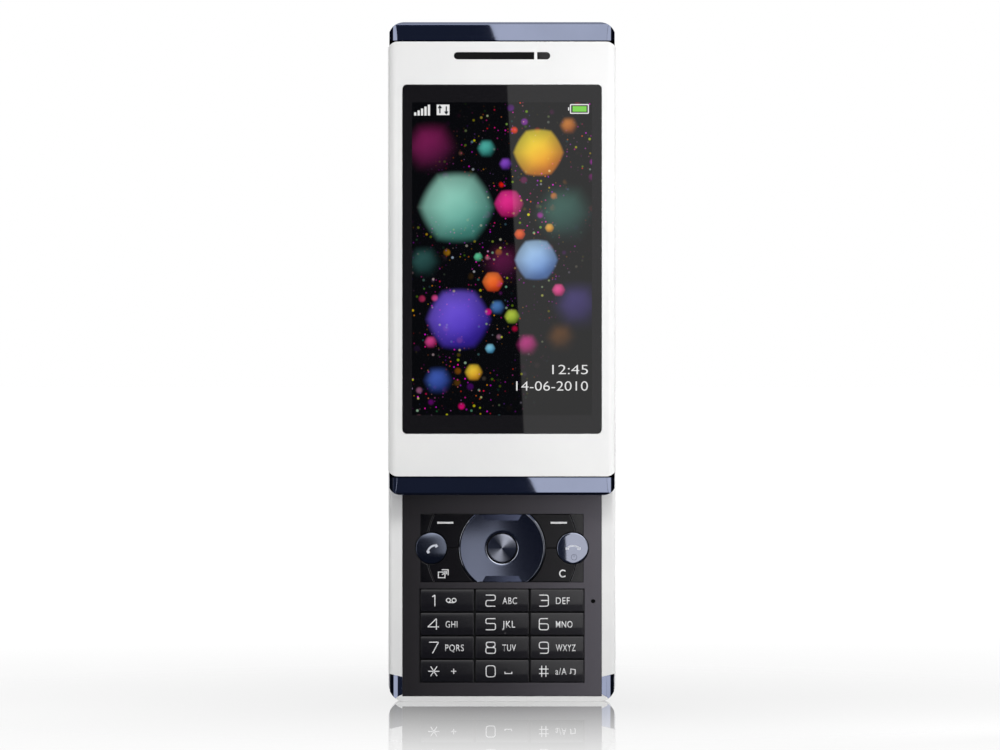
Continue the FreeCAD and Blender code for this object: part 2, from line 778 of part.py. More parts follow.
def nav_ring():
    cap = disc(0, key_block_z, ring_radius, key_front, key_back)
    cap = cap.common(block(-ring_radius, ring_radius, key_front, key_back,
                           key_block_z - ring_flat, key_block_z + ring_flat))
    hole = disc(0, key_block_z, ring_hole_radius, key_front, key_back)
    cap = cap.cut([hole, ring_notch(1), ring_notch(-1)])
    # the face is hollow: a large sphere takes it down from nothing at its rim
    ball_reach = (ring_dish_radius ** 2 - ring_radius ** 2) ** 0.5
    cap = cap.cut(Part.makeSphere(ring_dish_radius, vector(0, key_front - ball_reach, key_block_z)))
    posts = [key_post(ring_post_reach * x, key_block_z + ring_post_reach * z, ring_post_radius)
             for x, z in ((1, 0), (-1, 0), (0, 1), (0, -1))]
    return cap.fuse(posts).removeSplitter()


def nav_select():
    cap = disc(0, key_block_z, select_radius, key_front, key_back)
    return cap.fuse(key_post(0, key_block_z, post_radius)).removeSplitter()


def switch_places():
    # where each post presses: (x, z, post radius)
    places = [[(column - 1) * number_pitch_x, number_top - (row + 0.5) * number_pitch_z, post_radius]
              for row in range(len(number_rows)) for column in range(len(number_rows[row]))]
    places += [[side * soft_post_x, key_block_z + level * soft_post_rise, post_radius]
               for side, level in soft_keys.values()]
    places += [[x, key_block_z, post_radius] for x in list(round_keys.values()) + [0]]
    places += [[ring_post_reach * x, key_block_z + ring_post_reach * z, ring_post_radius]
               for x, z in ((1, 0), (-1, 0), (0, 1), (0, -1))]
    return places


def keymat_block(y0, y1, inset):
    half = keypad_window_half - fit_gap - mic_size[0] / 4 - inset
    low, high = keypad_window_bottom + fit_gap + inset, keypad_window_top - fit_gap - inset
    return block(-half, half, y0, y1, low, high)


def keymat():
    shape = keymat_block(keymat_front, sheet_front, 0)
    shape = shape.cut(keymat_block(keymat_front + keymat_thickness, sheet_front, keymat_rim))
    holes = [disc(x, z, radius + fit_gap, keymat_front, sheet_front) for x, z, radius in switch_places()]
    return shape.cut(holes)


def dome_sheet():
    shape = keymat_block(sheet_front, board_front, 0)
    domes = [Part.makeCone(dome_radius * radius / post_radius / 2, dome_top_radius / 2, dome_height,
                           vector(x, sheet_front, z), vector(0, -1, 0)) for x, z, radius in switch_places()]
    return shape.fuse(domes).removeSplitter()


def side_key_form(z, length):
    depth = side_key_thickness / 2
    outer = half_width - side_key_recess + side_key_proud
    inner = cavity_half - side_key_play
    stem = block(inner, outer, side_key_y - depth, side_key_y + depth, z - length / 2, z + length / 2)
    flange = block(inner - side_flange_thickness, inner, side_key_y - depth - side_flange_thickness / 2,
                   side_key_y + depth + side_flange_thickness / 2,
                   z - length / 2 - side_flange, z + length / 2 + side_flange)
    return stem.fuse(flange).removeSplitter()


def main_board():
    half = cavity_half - side_key_play - side_flange_thickness
    low, high = body_wall + fit_gap, body_length - body_wall - fit_gap
    shape = block(-half, half, board_front, board_back, low, high)
    shape = shape.cut([disc(x, z, board_hole_radius, board_front, board_back) for x, z in body_screws_at])
    socket = block_at(flex_x, flex_lower_z, board_front - socket_depth,
                      [flex_width + 2 * socket_side, socket_depth, socket_height])
    return shape.fuse(socket).removeSplitter()


def shield_cans():
    cans = []
    middle = (can_bottom + can_top) / 2
    wall = connector_shell
    size = [can_width, can_depth, can_top - can_bottom]
    inside = [can_width - 2 * wall, can_depth - wall, can_top - can_bottom - 2 * wall]
    for x in (-(can_width + can_split) / 2, (can_width + can_split) / 2):
        can = block_at(x, middle, board_back, size)
        cans.append(can.cut(block_at(x, middle, board_back, inside)))
    return Part.Compound(cans)


def bay_inner(y0, y1):
    half = battery_width / 2 + battery_gap
    return block(-half, half, y0, y1, battery_bottom - battery_gap, battery_top + battery_gap)


def battery_bay():
    # floor and four walls behind the board, open to the back
    half = battery_width / 2 + battery_gap + bay_wall
    floor_front = battery_front - foot_gap - bay_wall
    shape = block(-half, half, floor_front, ledge_front, battery_bottom - battery_gap - bay_wall,
                  battery_top + battery_gap + bay_wall)
    shape = shape.cut(bay_inner(floor_front + bay_wall, ledge_front))
    sim_hole = block_at(sim_x, sim_bottom + sim_size[2] / 2, floor_front,
                        [sim_size[0] + 2 * fit_gap, bay_wall, sim_size[2] + 2 * fit_gap])
    contact_hole = block_at(0, battery_top + battery_gap + bay_wall / 2, floor_front,
                            [contact_size[0] + 2 * fit_gap, contact_size[1], bay_wall + 2 * battery_gap])
    return shape.cut([sim_hole, contact_hole])


def battery():
    size = [battery_width, battery_thickness, battery_height]
    return block_at(0, (battery_bottom + battery_top) / 2, battery_front, size)


def battery_contacts():
    return block_at(0, battery_top + contact_size[2] / 2, board_back, contact_size)


def sim_holder():
    middle = sim_bottom + sim_size[2] / 2
    tray = block_at(sim_x, middle, board_back, sim_size)
    wall = connector_shell
    slot = [sim_size[0] - 2 * wall, sim_size[1] - wall, sim_size[2]]
    return tray.cut(block_at(sim_x, middle + 2 * wall, board_back, slot))


def rear_form(y0, y1):
    shape = rounded_bar(y0, y1, 0, body_length, 0, housing_edge_radius)
    ends = block(-half_width, half_width, y0, y1, 0, body_length)
    ends = ends.makeFillet(housing_end_radius, edges_along(ends, vector(1, 0, 0), lambda p: p.y > y0))
    return shape.common(ends).common(body_outline(y0, y1, 0, body_length))


def cover_outline(y0, y1, shrink):
    half = cover_half_width - shrink
    return plate(-half, half, y0, y1, cover_bottom + shrink, cover_top - shrink, cover_radius, cover_radius)


def camera_trim_outline(y0, y1, shrink):
    width, depth, height = camera_trim_size
    return plate(-width / 2 + shrink, width / 2 - shrink, y0, y1, camera_z - height / 2 + shrink,
                 camera_z + height / 2 - shrink, camera_trim_radius, camera_trim_radius)


def flash_opening(y0, y1, shrink):
    size = [flash_size[0] - 2 * shrink, y1 - y0, flash_size[2] - 2 * shrink]
    return block_at(flash_x, camera_z, y0, size)


def speaker_slot_tools(y0, y1):
    first = -(speaker_slots - 1) / 2
    size = [speaker_slot_size[0], y1 - y0, speaker_slot_size[1]]
    return [block_at((first + number) * speaker_slot_pitch, speaker_z, y0, size)
            for number in range(speaker_slots)]


def rear_housing():
    shape = rear_form(split_y, body_back)
    inner = board_cavity(split_y - cut_margin, cover_front)
    behind_cover = cover_outline(ledge_front, cover_front, -bay_wall)
    shape = shape.cut(inner.cut(behind_cover))
    shape = shape.fuse(battery_bay())
    for x, z in body_screws_at:
        shape = shape.fuse(disc(x, z, body_boss_radius, board_back + board_gap, cover_front))
    shape = shape.cut([cover_outline(cover_front, body_back + cut_margin, 0),
                       bay_inner(ledge_front, cover_front)])
    trim_front = body_back - camera_trim_size[1]
    shape = shape.cut(camera_trim_outline(trim_front, body_back + cut_margin, 0))
    shape = shape.cut(disc(0, camera_z, camera_window_radius, cover_front, body_back))
    shape = shape.cut(flash_opening(cover_front, body_back, 0))
    shape = shape.cut(speaker_slot_tools(cover_front, body_back))
    for x, z in body_screws_at:
        shape = shape.cut(disc(x, z, screw_radius, board_back, split_y + screw_reach))
    return shape.removeSplitter()


def battery_cover():
    shape = cover_outline(cover_front, body_back, fit_gap)
    outer_edges = [edge for edge in shape.Edges if edge.CenterOfMass.y > body_back - foot_gap]
    return shape.makeChamfer(back_chamfer / 2, outer_edges)


def camera_trim():
    trim_front = body_back - camera_trim_size[1]
    shape = camera_trim_outline(trim_front, body_back, fit_gap)
    return shape.cut([disc(0, camera_z, camera_window_radius, trim_front, body_back),
                      flash_opening(trim_front, body_back, 0)])


def camera_module():
    shape = block_at(0, camera_z, board_back, camera_size)
    glass_front = body_back - camera_trim_size[1]
    return shape.fuse(disc(0, camera_z, camera_barrel_radius, board_back, glass_front)).removeSplitter()


def camera_lens():
    glass_front = body_back - camera_trim_size[1]
    glass_back = glass_front + camera_glass_thickness
    return disc(0, camera_z, camera_window_radius - foot_gap, glass_front, glass_back)


def flash_lens():
    return flash_opening(body_back - foot_gap - flash_size[1], body_back - foot_gap, foot_gap)


def loudspeaker():
    return block_at(0, speaker_z, cover_front - speaker_size[1], speaker_size)


def microphone():
    return block_at(mic_x + mic_size[0] / 4, mic_z, board_front - mic_size[1], mic_size)


def side_connector():
    # a metal shell open towards the side, with a tongue inside
    width, depth, height = connector_size
    outer_x = -half_width + connector_shell
    low, high = connector_z - height / 2 + fit_gap, connector_z + height / 2 - fit_gap
    back = board_back + depth - fit_gap
    wall = connector_shell
    shell = block(outer_x, outer_x + width, board_back, back, low, high)
    shell = shell.cut(block(outer_x, outer_x + width - wall, board_back + wall, back - wall,
                            low + wall, high - wall))
    middle = (board_back + back) / 2
    half = connector_tongue / 2
    tongue = block(outer_x + wall, outer_x + width, middle - half, middle + half,
                   low + connector_tongue_end, high - connector_tongue_end)
    return shell.fuse(tongue).removeSplitter()


def antenna():
    # a channel-shaped plastic carrier under the battery
    middle = antenna_bottom + antenna_height / 2
    shape = block_at(0, middle, board_back, [antenna_width, antenna_depth, antenna_height])
    inside = [antenna_width - 2 * antenna_wall, antenna_depth - antenna_wall, antenna_height]
    return shape.cut(block_at(0, middle, board_back, inside))


def body_screws():
    screws = []
    for x, z in body_screws_at:
        head = disc(x, z, body_screw_head_radius, body_front, body_front + screw_head_height)
        shank = disc(x, z, screw_radius, body_front, split_y + screw_reach)
        screws.append(head.fuse(shank).removeSplitter())
    return Part.Compound(screws)


nodes = {
    "slide_bezel": slide_bezel, "display_glass": display_glass, "display_module": display_module,
    "display_board": display_board, "top_end_cap": top_end_cap, "bottom_end_cap": bottom_end_cap,
    "earpiece": earpiece, "earpiece_mesh": earpiece_mesh, "front_sensor": front_sensor,
    "track_plate": track_plate, "rail_liners": rail_liners, "slide_screws": slide_screws,
    "slide_runners": slide_runners, "slide_spring": slide_spring, "slide_flex": slide_flex,
    "lower_chassis": lower_chassis, "keypad_panel": keypad_panel, "corner_tiles": corner_tiles,
    "corner_trims": corner_trims, "keymat": keymat, "dome_sheet": dome_sheet, "main_board": main_board,
    "shield_cans": shield_cans, "battery": battery, "battery_contacts": battery_contacts,
    "sim_holder": sim_holder, "rear_housing": rear_housing, "battery_cover": battery_cover,
    "camera_trim": camera_trim, "camera_module": camera_module, "camera_lens": camera_lens,
    "flash_lens": flash_lens, "loudspeaker": loudspeaker, "microphone": microphone,
    "side_connector": side_connector, "antenna": antenna, "body_screws": body_screws,
    "nav_ring": nav_ring, "nav_select": nav_select,
}

os.makedirs("parts", exist_ok=True)
for name, make in nodes.items():
    make().exportStep(f"parts/{name}.step")
for row, names in enumerate(number_rows):
    for column, name in enumerate(names):
        number_key(column, row).exportStep(f"parts/{name}.step")
for name, (side, level) in soft_keys.items():
    soft_key(side, level).exportStep(f"parts/{name}.step")
for name, x in round_keys.items():
    round_key(x).exportStep(f"parts/{name}.step")
side_key_form(volume_z, volume_length).exportStep("parts/volume_rocker.step")
side_key_form(camera_key_z, camera_key_length).exportStep("parts/camera_key.step")
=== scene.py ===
import json
import math
import bpy
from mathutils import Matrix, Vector

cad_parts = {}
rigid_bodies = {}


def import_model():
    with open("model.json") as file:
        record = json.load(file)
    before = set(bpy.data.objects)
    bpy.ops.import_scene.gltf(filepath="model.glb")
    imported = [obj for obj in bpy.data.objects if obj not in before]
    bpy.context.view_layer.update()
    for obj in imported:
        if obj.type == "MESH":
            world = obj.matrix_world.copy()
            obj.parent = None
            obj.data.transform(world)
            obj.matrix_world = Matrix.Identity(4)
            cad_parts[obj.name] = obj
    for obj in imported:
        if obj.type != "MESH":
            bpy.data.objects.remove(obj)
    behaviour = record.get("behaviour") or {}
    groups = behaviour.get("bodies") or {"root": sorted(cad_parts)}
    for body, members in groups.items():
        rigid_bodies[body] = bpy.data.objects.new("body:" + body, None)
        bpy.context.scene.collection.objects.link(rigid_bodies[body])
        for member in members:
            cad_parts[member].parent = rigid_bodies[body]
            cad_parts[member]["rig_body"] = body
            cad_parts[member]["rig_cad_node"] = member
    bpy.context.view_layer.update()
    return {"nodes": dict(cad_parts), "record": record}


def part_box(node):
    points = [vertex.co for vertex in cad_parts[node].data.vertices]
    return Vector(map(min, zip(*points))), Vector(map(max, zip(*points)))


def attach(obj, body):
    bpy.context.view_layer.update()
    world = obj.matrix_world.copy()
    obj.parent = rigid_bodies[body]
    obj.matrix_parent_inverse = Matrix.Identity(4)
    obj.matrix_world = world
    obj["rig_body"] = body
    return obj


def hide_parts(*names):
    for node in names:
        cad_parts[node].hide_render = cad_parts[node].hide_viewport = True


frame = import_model()
nodes = frame["nodes"]
record = frame["record"]
slotOf = {part["node"]: part["material_slot"] for part in record["subparts"]}
bodyOf = {node: body for body, members in record["behaviour"]["bodies"].items() for node in members}
mm = 0.001
print("frame loaded:", len(nodes), "nodes")


# Small helpers for materials

def toLinear(hexColour):
    shares = [int(hexColour[i:i + 2], 16) / 255 for i in (1, 3, 5)]
    return [s / 12.92 if s < 0.04045 else ((s + 0.055) / 1.055) ** 2.4 for s in shares] + [1]


def addNode(tree, kind, settings=None, inputs=None):
    # inputs are values, or sockets to link from
    node = tree.nodes.new("ShaderNode" + kind)
    for name, value in (settings or {}).items():
        setattr(node, name, value)
    for name, value in (inputs or {}).items():
        if isinstance(value, bpy.types.NodeSocket):
            tree.links.new(value, node.inputs[name])
        else:
            node.inputs[name].default_value = value
    return node


def newMaterial(name):
    material = bpy.data.materials.new(name)
    material.use_nodes = True
    material.node_tree.nodes.clear()
    return material, material.node_tree


def patternPlace(tree):
    return addNode(tree, "TexCoord").outputs["Object"]


def splitAxes(tree, place):
    return addNode(tree, "SeparateXYZ", {}, {"Vector": place}).outputs


def combine(tree, operation, *values):
    return addNode(tree, "Math", {"operation": operation}, dict(enumerate(values))).outputs[0]


def combineVectors(tree, operation, *values):
    # a dot product or a length is a number, the rest are vectors
    node = addNode(tree, "VectorMath", {"operation": operation}, dict(enumerate(values)))
    return node.outputs["Value" if operation in ("DOT_PRODUCT", "LENGTH") else "Vector"]


def rescale(tree, value, start, end, low=0.0, high=1.0, smooth=False):
    # the run from start to end becomes low to high
    return addNode(tree, "MapRange", {"interpolation_type": "SMOOTHSTEP" if smooth else "LINEAR"}, {
        "Value": value, "From Min": start, "From Max": end, "To Min": low, "To Max": high}).outputs[0]


def blend(tree, share, first, second, kind="MIX"):
    return addNode(tree, "Mix", {"data_type": "RGBA", "blend_type": kind}, {
        "Factor": share, "A": first, "B": second}).outputs["Result"]


def noise(tree, place, size, detail=2):
    # size is in mm
    return addNode(tree, "TexNoise", {}, {"Vector": place, "Scale": 1 / (size * mm), "Detail": detail}).outputs["Fac"]


def toOutput(tree, shader, kind="OutputMaterial"):
    addNode(tree, kind, {}, {"Surface": shader.outputs[0]})
    return shader


def finishSurface(tree, inputs):
    return toOutput(tree, addNode(tree, "BsdfPrincipled", {}, inputs))


def paintedJointShade(tree, colour, joint):
    # painted shade: the colour falls away to a dark line at a height either side of the middle, standing in for the
    # shade in the gap where the caps meet the bezel; sizes in mm
    away = combine(tree, "ABSOLUTE", combine(
        tree, "SUBTRACT", splitAxes(tree, patternPlace(tree))["Z"], joint["middle"] * mm))
    start, stop = [(joint["reach"] + width) * mm for width in joint["width"]]
    return blend(tree, rescale(tree, away, start, stop), joint["dark"], colour)


# the part of each noise that is spread over a finish's whole range
noiseReach = {"patch": (0.35, 0.65), "grit": (0.3, 0.7)}


def speckledMaterial(look):
    # two close tones, a roughness range and a fine bump, all led by noise; patch and grit in mm
    material, tree = newMaterial(look["name"])
    place = addNode(tree, "Mapping", {}, {
        "Vector": patternPlace(tree), "Scale": look.get("grain", (1, 1, 1))}).outputs["Vector"]
    patches = rescale(tree, noise(tree, place, look["patch"], 3), *noiseReach["patch"])
    grit = noise(tree, place, look["grit"])
    base = blend(tree, patches, *map(toLinear, look["tones"]))
    # painted shade along the caps' joints with the bezel
    if "joint" in look:
        base = paintedJointShade(tree, base, look["joint"])
    surface = finishSurface(tree, {
        "Base Color": base, "Roughness": rescale(tree, grit, *noiseReach["grit"], *look["rough"]),
        "Metallic": look.get("metal", 0.0), "IOR": look.get("ior", 1.5)})
    if "bump" in look:
        bump = addNode(tree, "Bump", {}, {
            "Height": grit, "Strength": look["bump"], "Distance": look["grit"] * mm / 4})
        tree.links.new(bump.outputs[0], surface.inputs["Normal"])
    return material


# Small helpers for pieces

def deselectAll():
    if bpy.context.mode != "OBJECT":
        bpy.ops.object.mode_set(mode="OBJECT")
    bpy.ops.object.select_all(action="DESELECT")


def onlySelect(piece):
    deselectAll()
    piece.select_set(True)
    bpy.context.view_layer.objects.active = piece


def editAll(piece):
    onlySelect(piece)
    bpy.ops.object.mode_set(mode="EDIT")
    bpy.ops.mesh.select_all(action="SELECT")


def applyModifier(piece, name, kind, settings):
    onlySelect(piece)
    modifier = piece.modifiers.new(name, kind)
    for key, value in settings.items():
        setattr(modifier, key, value)
    bpy.ops.object.modifier_apply(modifier=name)


def meshPiece(name, corners, lines, faces):
    mesh = bpy.data.meshes.new(name)
    mesh.from_pydata(corners, lines, faces)
    piece = bpy.data.objects.new(name, mesh)
    bpy.context.collection.objects.link(piece)
    return piece


def paint(piece, material):
    piece.data.materials.clear()
    piece.data.materials.append(material)


def faceMiddle(nodeName):
    # x and z of a solid's middle and y of its front, in mm
    low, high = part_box(nodeName)
    return (low.x + high.x) / 2 / mm, (low.z + high.z) / 2 / mm, low.y / mm


def smoothSharp(piece, angle):
    onlySelect(piece)
    bpy.ops.object.shade_smooth_by_angle(angle=math.radians(angle))
    applyModifier(piece, "normals", "WEIGHTED_NORMAL", {"keep_sharp": True, "weight": 90})


# lengths in mm, angles in degrees
softening = {"merge": 0.002, "level": 0.3, "sharp": 32}


def softenedCopy(nodeName, look):
    # the solid's own faces, merged, with its sharp edges rounded
    onlySelect(nodes[nodeName])
    bpy.ops.object.duplicate()
    piece = bpy.context.active_object
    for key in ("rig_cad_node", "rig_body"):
        del piece[key]
    piece.name = look["name"]
    editAll(piece)
    bpy.ops.mesh.remove_doubles(threshold=softening["merge"] * mm)
    bpy.ops.mesh.dissolve_limited(angle_limit=math.radians(softening["level"]))
    bpy.ops.object.mode_set(mode="OBJECT")
    applyModifier(piece, "edges", "BEVEL", {
        "width": look["edge"] * mm, "segments": look.get("steps", 2), "limit_method": "ANGLE",
        "angle_limit": math.radians(look.get("angle", softening["sharp"])), "use_clamp_overlap": False})
    smoothSharp(piece, softening["sharp"])
    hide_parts(nodeName)
    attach(piece, bodyOf[nodeName])
    return piece


# Materials

looks = {
    # glossy white ABS, injection moulded: bright, clean, a faint orange peel in its gloss
    "white_shell": {"name": "glossWhiteAbs", "tones": ("#eeeeee", "#f2f2f1"), "patch": 20, "grit": 0.8,
                    "rough": (0.12, 0.18), "bump": 0.004, "ior": 1.52},
    # polycarbonate, vacuum metallised and tinted navy: a near mirror with a blue cast, with painted shade along its
    # joint with the bezel
    "navy_metallised": {"name": "metallisedNavy", "tones": ("#a0a8c2", "#a5adc8"), "patch": 12, "grit": 0.5,
                        "rough": (0.012, 0.018), "metal": 1.0,
                        "joint": {"middle": 97.2, "reach": 47.6, "width": (0.2, 0.32),
                                  "dark": (0.003, 0.003, 0.006, 1)}},
    # liquid crystal cell: dark glass sandwich with a polariser's sheen
    "display_cell": {"name": "displayCell", "tones": ("#101114", "#17181c"), "patch": 6, "grit": 0.4,
                     "rough": (0.2, 0.3), "bump": 0.02},
    # glass-filled nylon, moulded black: matt with a slight grain
    "black_part": {"name": "blackNylon", "tones": ("#121214", "#1b1b1e"), "patch": 3, "grit": 0.3,
                   "rough": (0.45, 0.6), "bump": 0.1},
    # drawn aluminium can: fine satin
    "sound_part": {"name": "drawnAluminium", "tones": ("#b9babd", "#cacbce"), "patch": 2, "grit": 0.15,
                   "rough": (0.28, 0.4), "bump": 0.05, "metal": 1.0, "grain": (1, 1, 8)},
    # piano black acrylic: deep black, polished
    "black_gloss": {"name": "pianoBlackAcrylic", "tones": ("#131214", "#171618"), "patch": 8, "grit": 0.6,
                    "rough": (0.04, 0.06), "ior": 1.49},
    # anodised aluminium sheet, bead blasted
    "track_alloy": {"name": "anodisedAluminium", "tones": ("#a3a4a9", "#a9aaaf"), "patch": 9, "grit": 0.12,
                    "rough": (0.34, 0.38), "bump": 0.05, "metal": 1.0},
    # stamped stainless steel with rolling marks along its length
    "steel": {"name": "stampedSteel", "tones": ("#a7a7a8", "#bfbfbf"), "patch": 2, "grit": 0.1,
              "rough": (0.22, 0.36), "bump": 0.06, "metal": 1.0, "grain": (6, 6, 1)},
    # polyimide flat cable: amber film over copper
    "flat_cable": {"name": "polyimideFilm", "tones": ("#9a5c18", "#b8741f"), "patch": 1.2, "grit": 0.3,
                   "rough": (0.25, 0.35), "bump": 0.03, "grain": (4, 1, 1)},
    # black silicone rubber, moulded
    "silicone": {"name": "siliconeRubber", "tones": ("#0c0c0d", "#141415"), "patch": 5, "grit": 0.3,
                 "rough": (0.5, 0.65), "bump": 0.08, "ior": 1.41},
    # polyester film printed white
    "dome_film": {"name": "polyesterFilm", "tones": ("#d3d3d2", "#dededd"), "patch": 5, "grit": 0.4,
                  "rough": (0.3, 0.4), "bump": 0.02},
    # battery in a dark printed wrap over its can
    "battery_can": {"name": "wrappedBattery", "tones": ("#2c2c30", "#38383d"), "patch": 8, "grit": 0.4,
                    "rough": (0.3, 0.4), "bump": 0.03},
    # frosted polycarbonate flash window
    "flash_window": {"name": "frostedPolycarbonate", "tones": ("#e4e2d4", "#f0efe6"), "patch": 1.5,
                     "grit": 0.25, "rough": (0.15, 0.3), "bump": 0.15, "ior": 1.58},
    # key tops metallised in dark steel blue with a satin hard coat
    "key_metallised": {"name": "satinSteelBlue", "tones": ("#83879a", "#8b8fa1"), "patch": 6, "grit": 0.3,
                       "rough": (0.26, 0.3), "metal": 1.0},
    # silver metallised plastic side keys
    "side_key": {"name": "silverMetallised", "tones": ("#b9bac0", "#c6c7cc"), "patch": 4, "grit": 0.25,
                 "rough": (0.18, 0.26), "bump": 0.02, "metal": 1.0},
    # metallised floor of the ring's finger notches, polished
    "notchMetal": {"name": "notchMetal", "tones": ("#565c74", "#5e647c"), "patch": 6, "grit": 0.3,
                   "rough": (0.05, 0.08), "metal": 1.0},
    # painted highlight: a paler copy of the key coat for the keys' edges, standing in for the light they catch
    "keyEdge": {"name": "paleKeyEdge", "tones": ("#444346", "#4e4d50"), "patch": 2, "grit": 0.3,
                "rough": (0.25, 0.35), "ior": 1.55},
}
materials = {slotName: speckledMaterial(look) for slotName, look in looks.items()}

# Lacquered and hard-coated plastics with a painted sheen: their colour is painted darker to the left and paler to the
# right, as the light falls across the phone
keyCoat = {"reach": 19, "metal": 0.0, "rough": (0.09, 0.13), "cloud": 6}
paintedSheenLooks = {
    # pearl graphite lacquer over moulded plastic
    "graphite_panel": {"name": "pearlGraphiteLacquer", "ramp": ("#2b292c", "#434045", "#605d64"), "reach": 21,
                       "metal": 0.4, "rough": (0.23, 0.25), "cloud": 0.25, "ior": 1.5},
    # smoked polycarbonate number keys under a hard coat
    "key_black": {**keyCoat, "name": "smokedKeyCoat", "ramp": ("#17161a", "#1e1d20", "#2a292c"), "ior": 1.55},
    # the same plastic, polished less, on the upper key block
    "softKey": {**keyCoat, "name": "smokedSoftKeyCoat", "ramp": ("#0e0d11", "#131215", "#161518"), "ior": 1.36},
    # and on the fixed corner tiles
    "cornerTile": {**keyCoat, "name": "smokedTileCoat", "ramp": ("#0a090c", "#0e0d10", "#1a191c"), "ior": 1.52},
}
for slotName, look in paintedSheenLooks.items():
    material, tree = newMaterial(look["name"])
    place = patternPlace(tree)
    # painted sheen: the base colour runs from dark at the left to pale at the right
    across = rescale(tree, splitAxes(tree, place)["X"], -look["reach"] * mm, look["reach"] * mm)
    ramp = addNode(tree, "ValToRGB", {}, {"Fac": across})
    left, middle, right = map(toLinear, look["ramp"])
    ramp.color_ramp.elements[0].color = left
    ramp.color_ramp.elements[1].color = right
    ramp.color_ramp.elements.new(0.5).color = middle
    cloud = noise(tree, place, look["cloud"], 1)
    finishSurface(tree, {
        "Base Color": ramp.outputs[0], "Roughness": rescale(tree, cloud, 0.0, 1.0, *look["rough"]),
        "Metallic": look["metal"], "IOR": look["ior"]})
    materials[slotName] = material

# Circuit board: green solder mask over copper tracks
boardLook = {"mask": "#0f3a22", "track": "#1f5a35", "pitch": 3.6, "line": 0.03, "rough": 0.35}
material, tree = newMaterial("solderMaskBoard")
mask = toLinear(boardLook["mask"])
tracks = addNode(tree, "TexBrick", {"offset": 0.3, "squash": 1.4}, {
    "Vector": patternPlace(tree), "Scale": 1 / (boardLook["pitch"] * mm), "Mortar Size": boardLook["line"],
    "Color1": mask, "Color2": mask, "Mortar": toLinear(boardLook["track"])})
finishSurface(tree, {"Base Color": tracks.outputs["Color"], "Roughness": boardLook["rough"]})
materials["circuit_board"] = material

# Perforated steel mesh: small dark holes in a black plated sheet
meshLook = {"hole": "#020202", "web": "#0e0e0f", "pitch": 0.35, "rim": (0.28, 0.36), "rough": 0.4, "metal": 0.6}
material, tree = newMaterial("perforatedMesh")
holes = addNode(tree, "TexVoronoi", {}, {
    "Vector": patternPlace(tree), "Scale": 1 / (meshLook["pitch"] * mm), "Randomness": 0.0})
edge = rescale(tree, holes.outputs["Distance"], *meshLook["rim"])
finishSurface(tree, {
    "Base Color": blend(tree, edge, toLinear(meshLook["hole"]), toLinear(meshLook["web"])),
    "Roughness": meshLook["rough"], "Metallic": meshLook["metal"]})
materials["mesh"] = material

# Turned metal: polished round keys, a spun select key whose shine runs round in a bow, from its anisotropic gloss and
# from painted highlight sectors, a satin ring, and rims with a painted highlight
turnedLooks = {
    "roundKeyMetal": {"tones": ("#a8adc0", "#b0b5c8"), "rough": 0.03},
    "deepKeyMetal": {"tones": ("#6e7485", "#767c8d"), "rough": 0.13},
    # bright is the turn at which the painted highlight sectors lie, in radians; deep is the painted shade of the
    # sides between them
    "spunSteel": {"tones": ("#9ea2b2", "#cacedc"), "rough": 0.3, "spun": 0.96, "bright": 1.14, "deep": "#3c4152"},
    "ringMetal": {"tones": ("#70768a", "#767c90"), "rough": 0.16},
    "rimMetal": {"tones": ("#b4b8c4", "#bec2ce"), "rough": 0.12},
}
for name, look in turnedLooks.items():
    material, tree = newMaterial(name)
    turned = addNode(tree, "UVMap", {"uv_map": "spun"}).outputs["UV"]
    lines = addNode(tree, "Mapping", {}, {"Vector": turned, "Scale": (3, 140, 1)}).outputs["Vector"]
    lathe = addNode(tree, "TexNoise", {}, {"Vector": lines, "Scale": 1.0, "Detail": 2}).outputs["Fac"]
    colour = blend(tree, lathe, *map(toLinear, look["tones"]))
    surface = finishSurface(tree, {"Base Color": colour, "Metallic": 1.0, "Roughness": look["rough"]})
    if "spun" in look:
        # painted highlight and shade: the base colour is painted light in two sectors, above and below, and dark at
        # the sides, as light gathers on a spun face
        turn = combine(tree, "MULTIPLY_ADD", splitAxes(tree, turned)["X"], 2 * math.tau, -2 * look["bright"])
        lit = rescale(tree, combine(tree, "COSINE", turn), -0.7, 1.0)
        tree.links.new(blend(tree, lit, toLinear(look["deep"]), colour), surface.inputs["Base Color"])
        around = addNode(tree, "Tangent", {"direction_type": "UV_MAP", "uv_map": "spun"})
        tree.links.new(around.outputs[0], surface.inputs["Tangent"])
        surface.inputs["Anisotropic"].default_value = look["spun"]
        surface.inputs["Anisotropic Rotation"].default_value = 0.25
    materials[name] = material

# Camera window: coated glass over a stepped black barrel, in a bright turned rim; ring radii in mm
lensLook = {"rings": {0.0: "#141026", 0.9: "#0c0b14", 1.15: "#2a2a2e", 1.3: "#09090a", 2.1: "#1c1c1f",
                      2.25: "#08080a", 2.75: "#8e9096"}, "reach": 3.2, "rough": 0.25, "coat": 0.02}
lensLow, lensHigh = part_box("camera_lens")
material, tree = newMaterial("coatedLensRings")
offset = combineVectors(tree, "SUBTRACT", patternPlace(tree), (lensLow + lensHigh) / 2)
away = combineVectors(tree, "LENGTH", combineVectors(tree, "MULTIPLY", offset, (1, 0, 1)))
ramp = addNode(tree, "ValToRGB", {}, {"Fac": rescale(tree, away, 0.0, lensLook["reach"] * mm)})
ramp.color_ramp.interpolation = "CONSTANT"
stops = ramp.color_ramp.elements
stops.remove(stops[1])
for radius, hexColour in lensLook["rings"].items():
    stop = stops[0] if radius == 0 else stops.new(radius / lensLook["reach"])
    stop.color = toLinear(hexColour)
finishSurface(tree, {
    "Base Color": ramp.outputs[0], "Roughness": lensLook["rough"],
    "Coat Weight": 1.0, "Coat Roughness": lensLook["coat"]})
materials["clear_lens"] = material


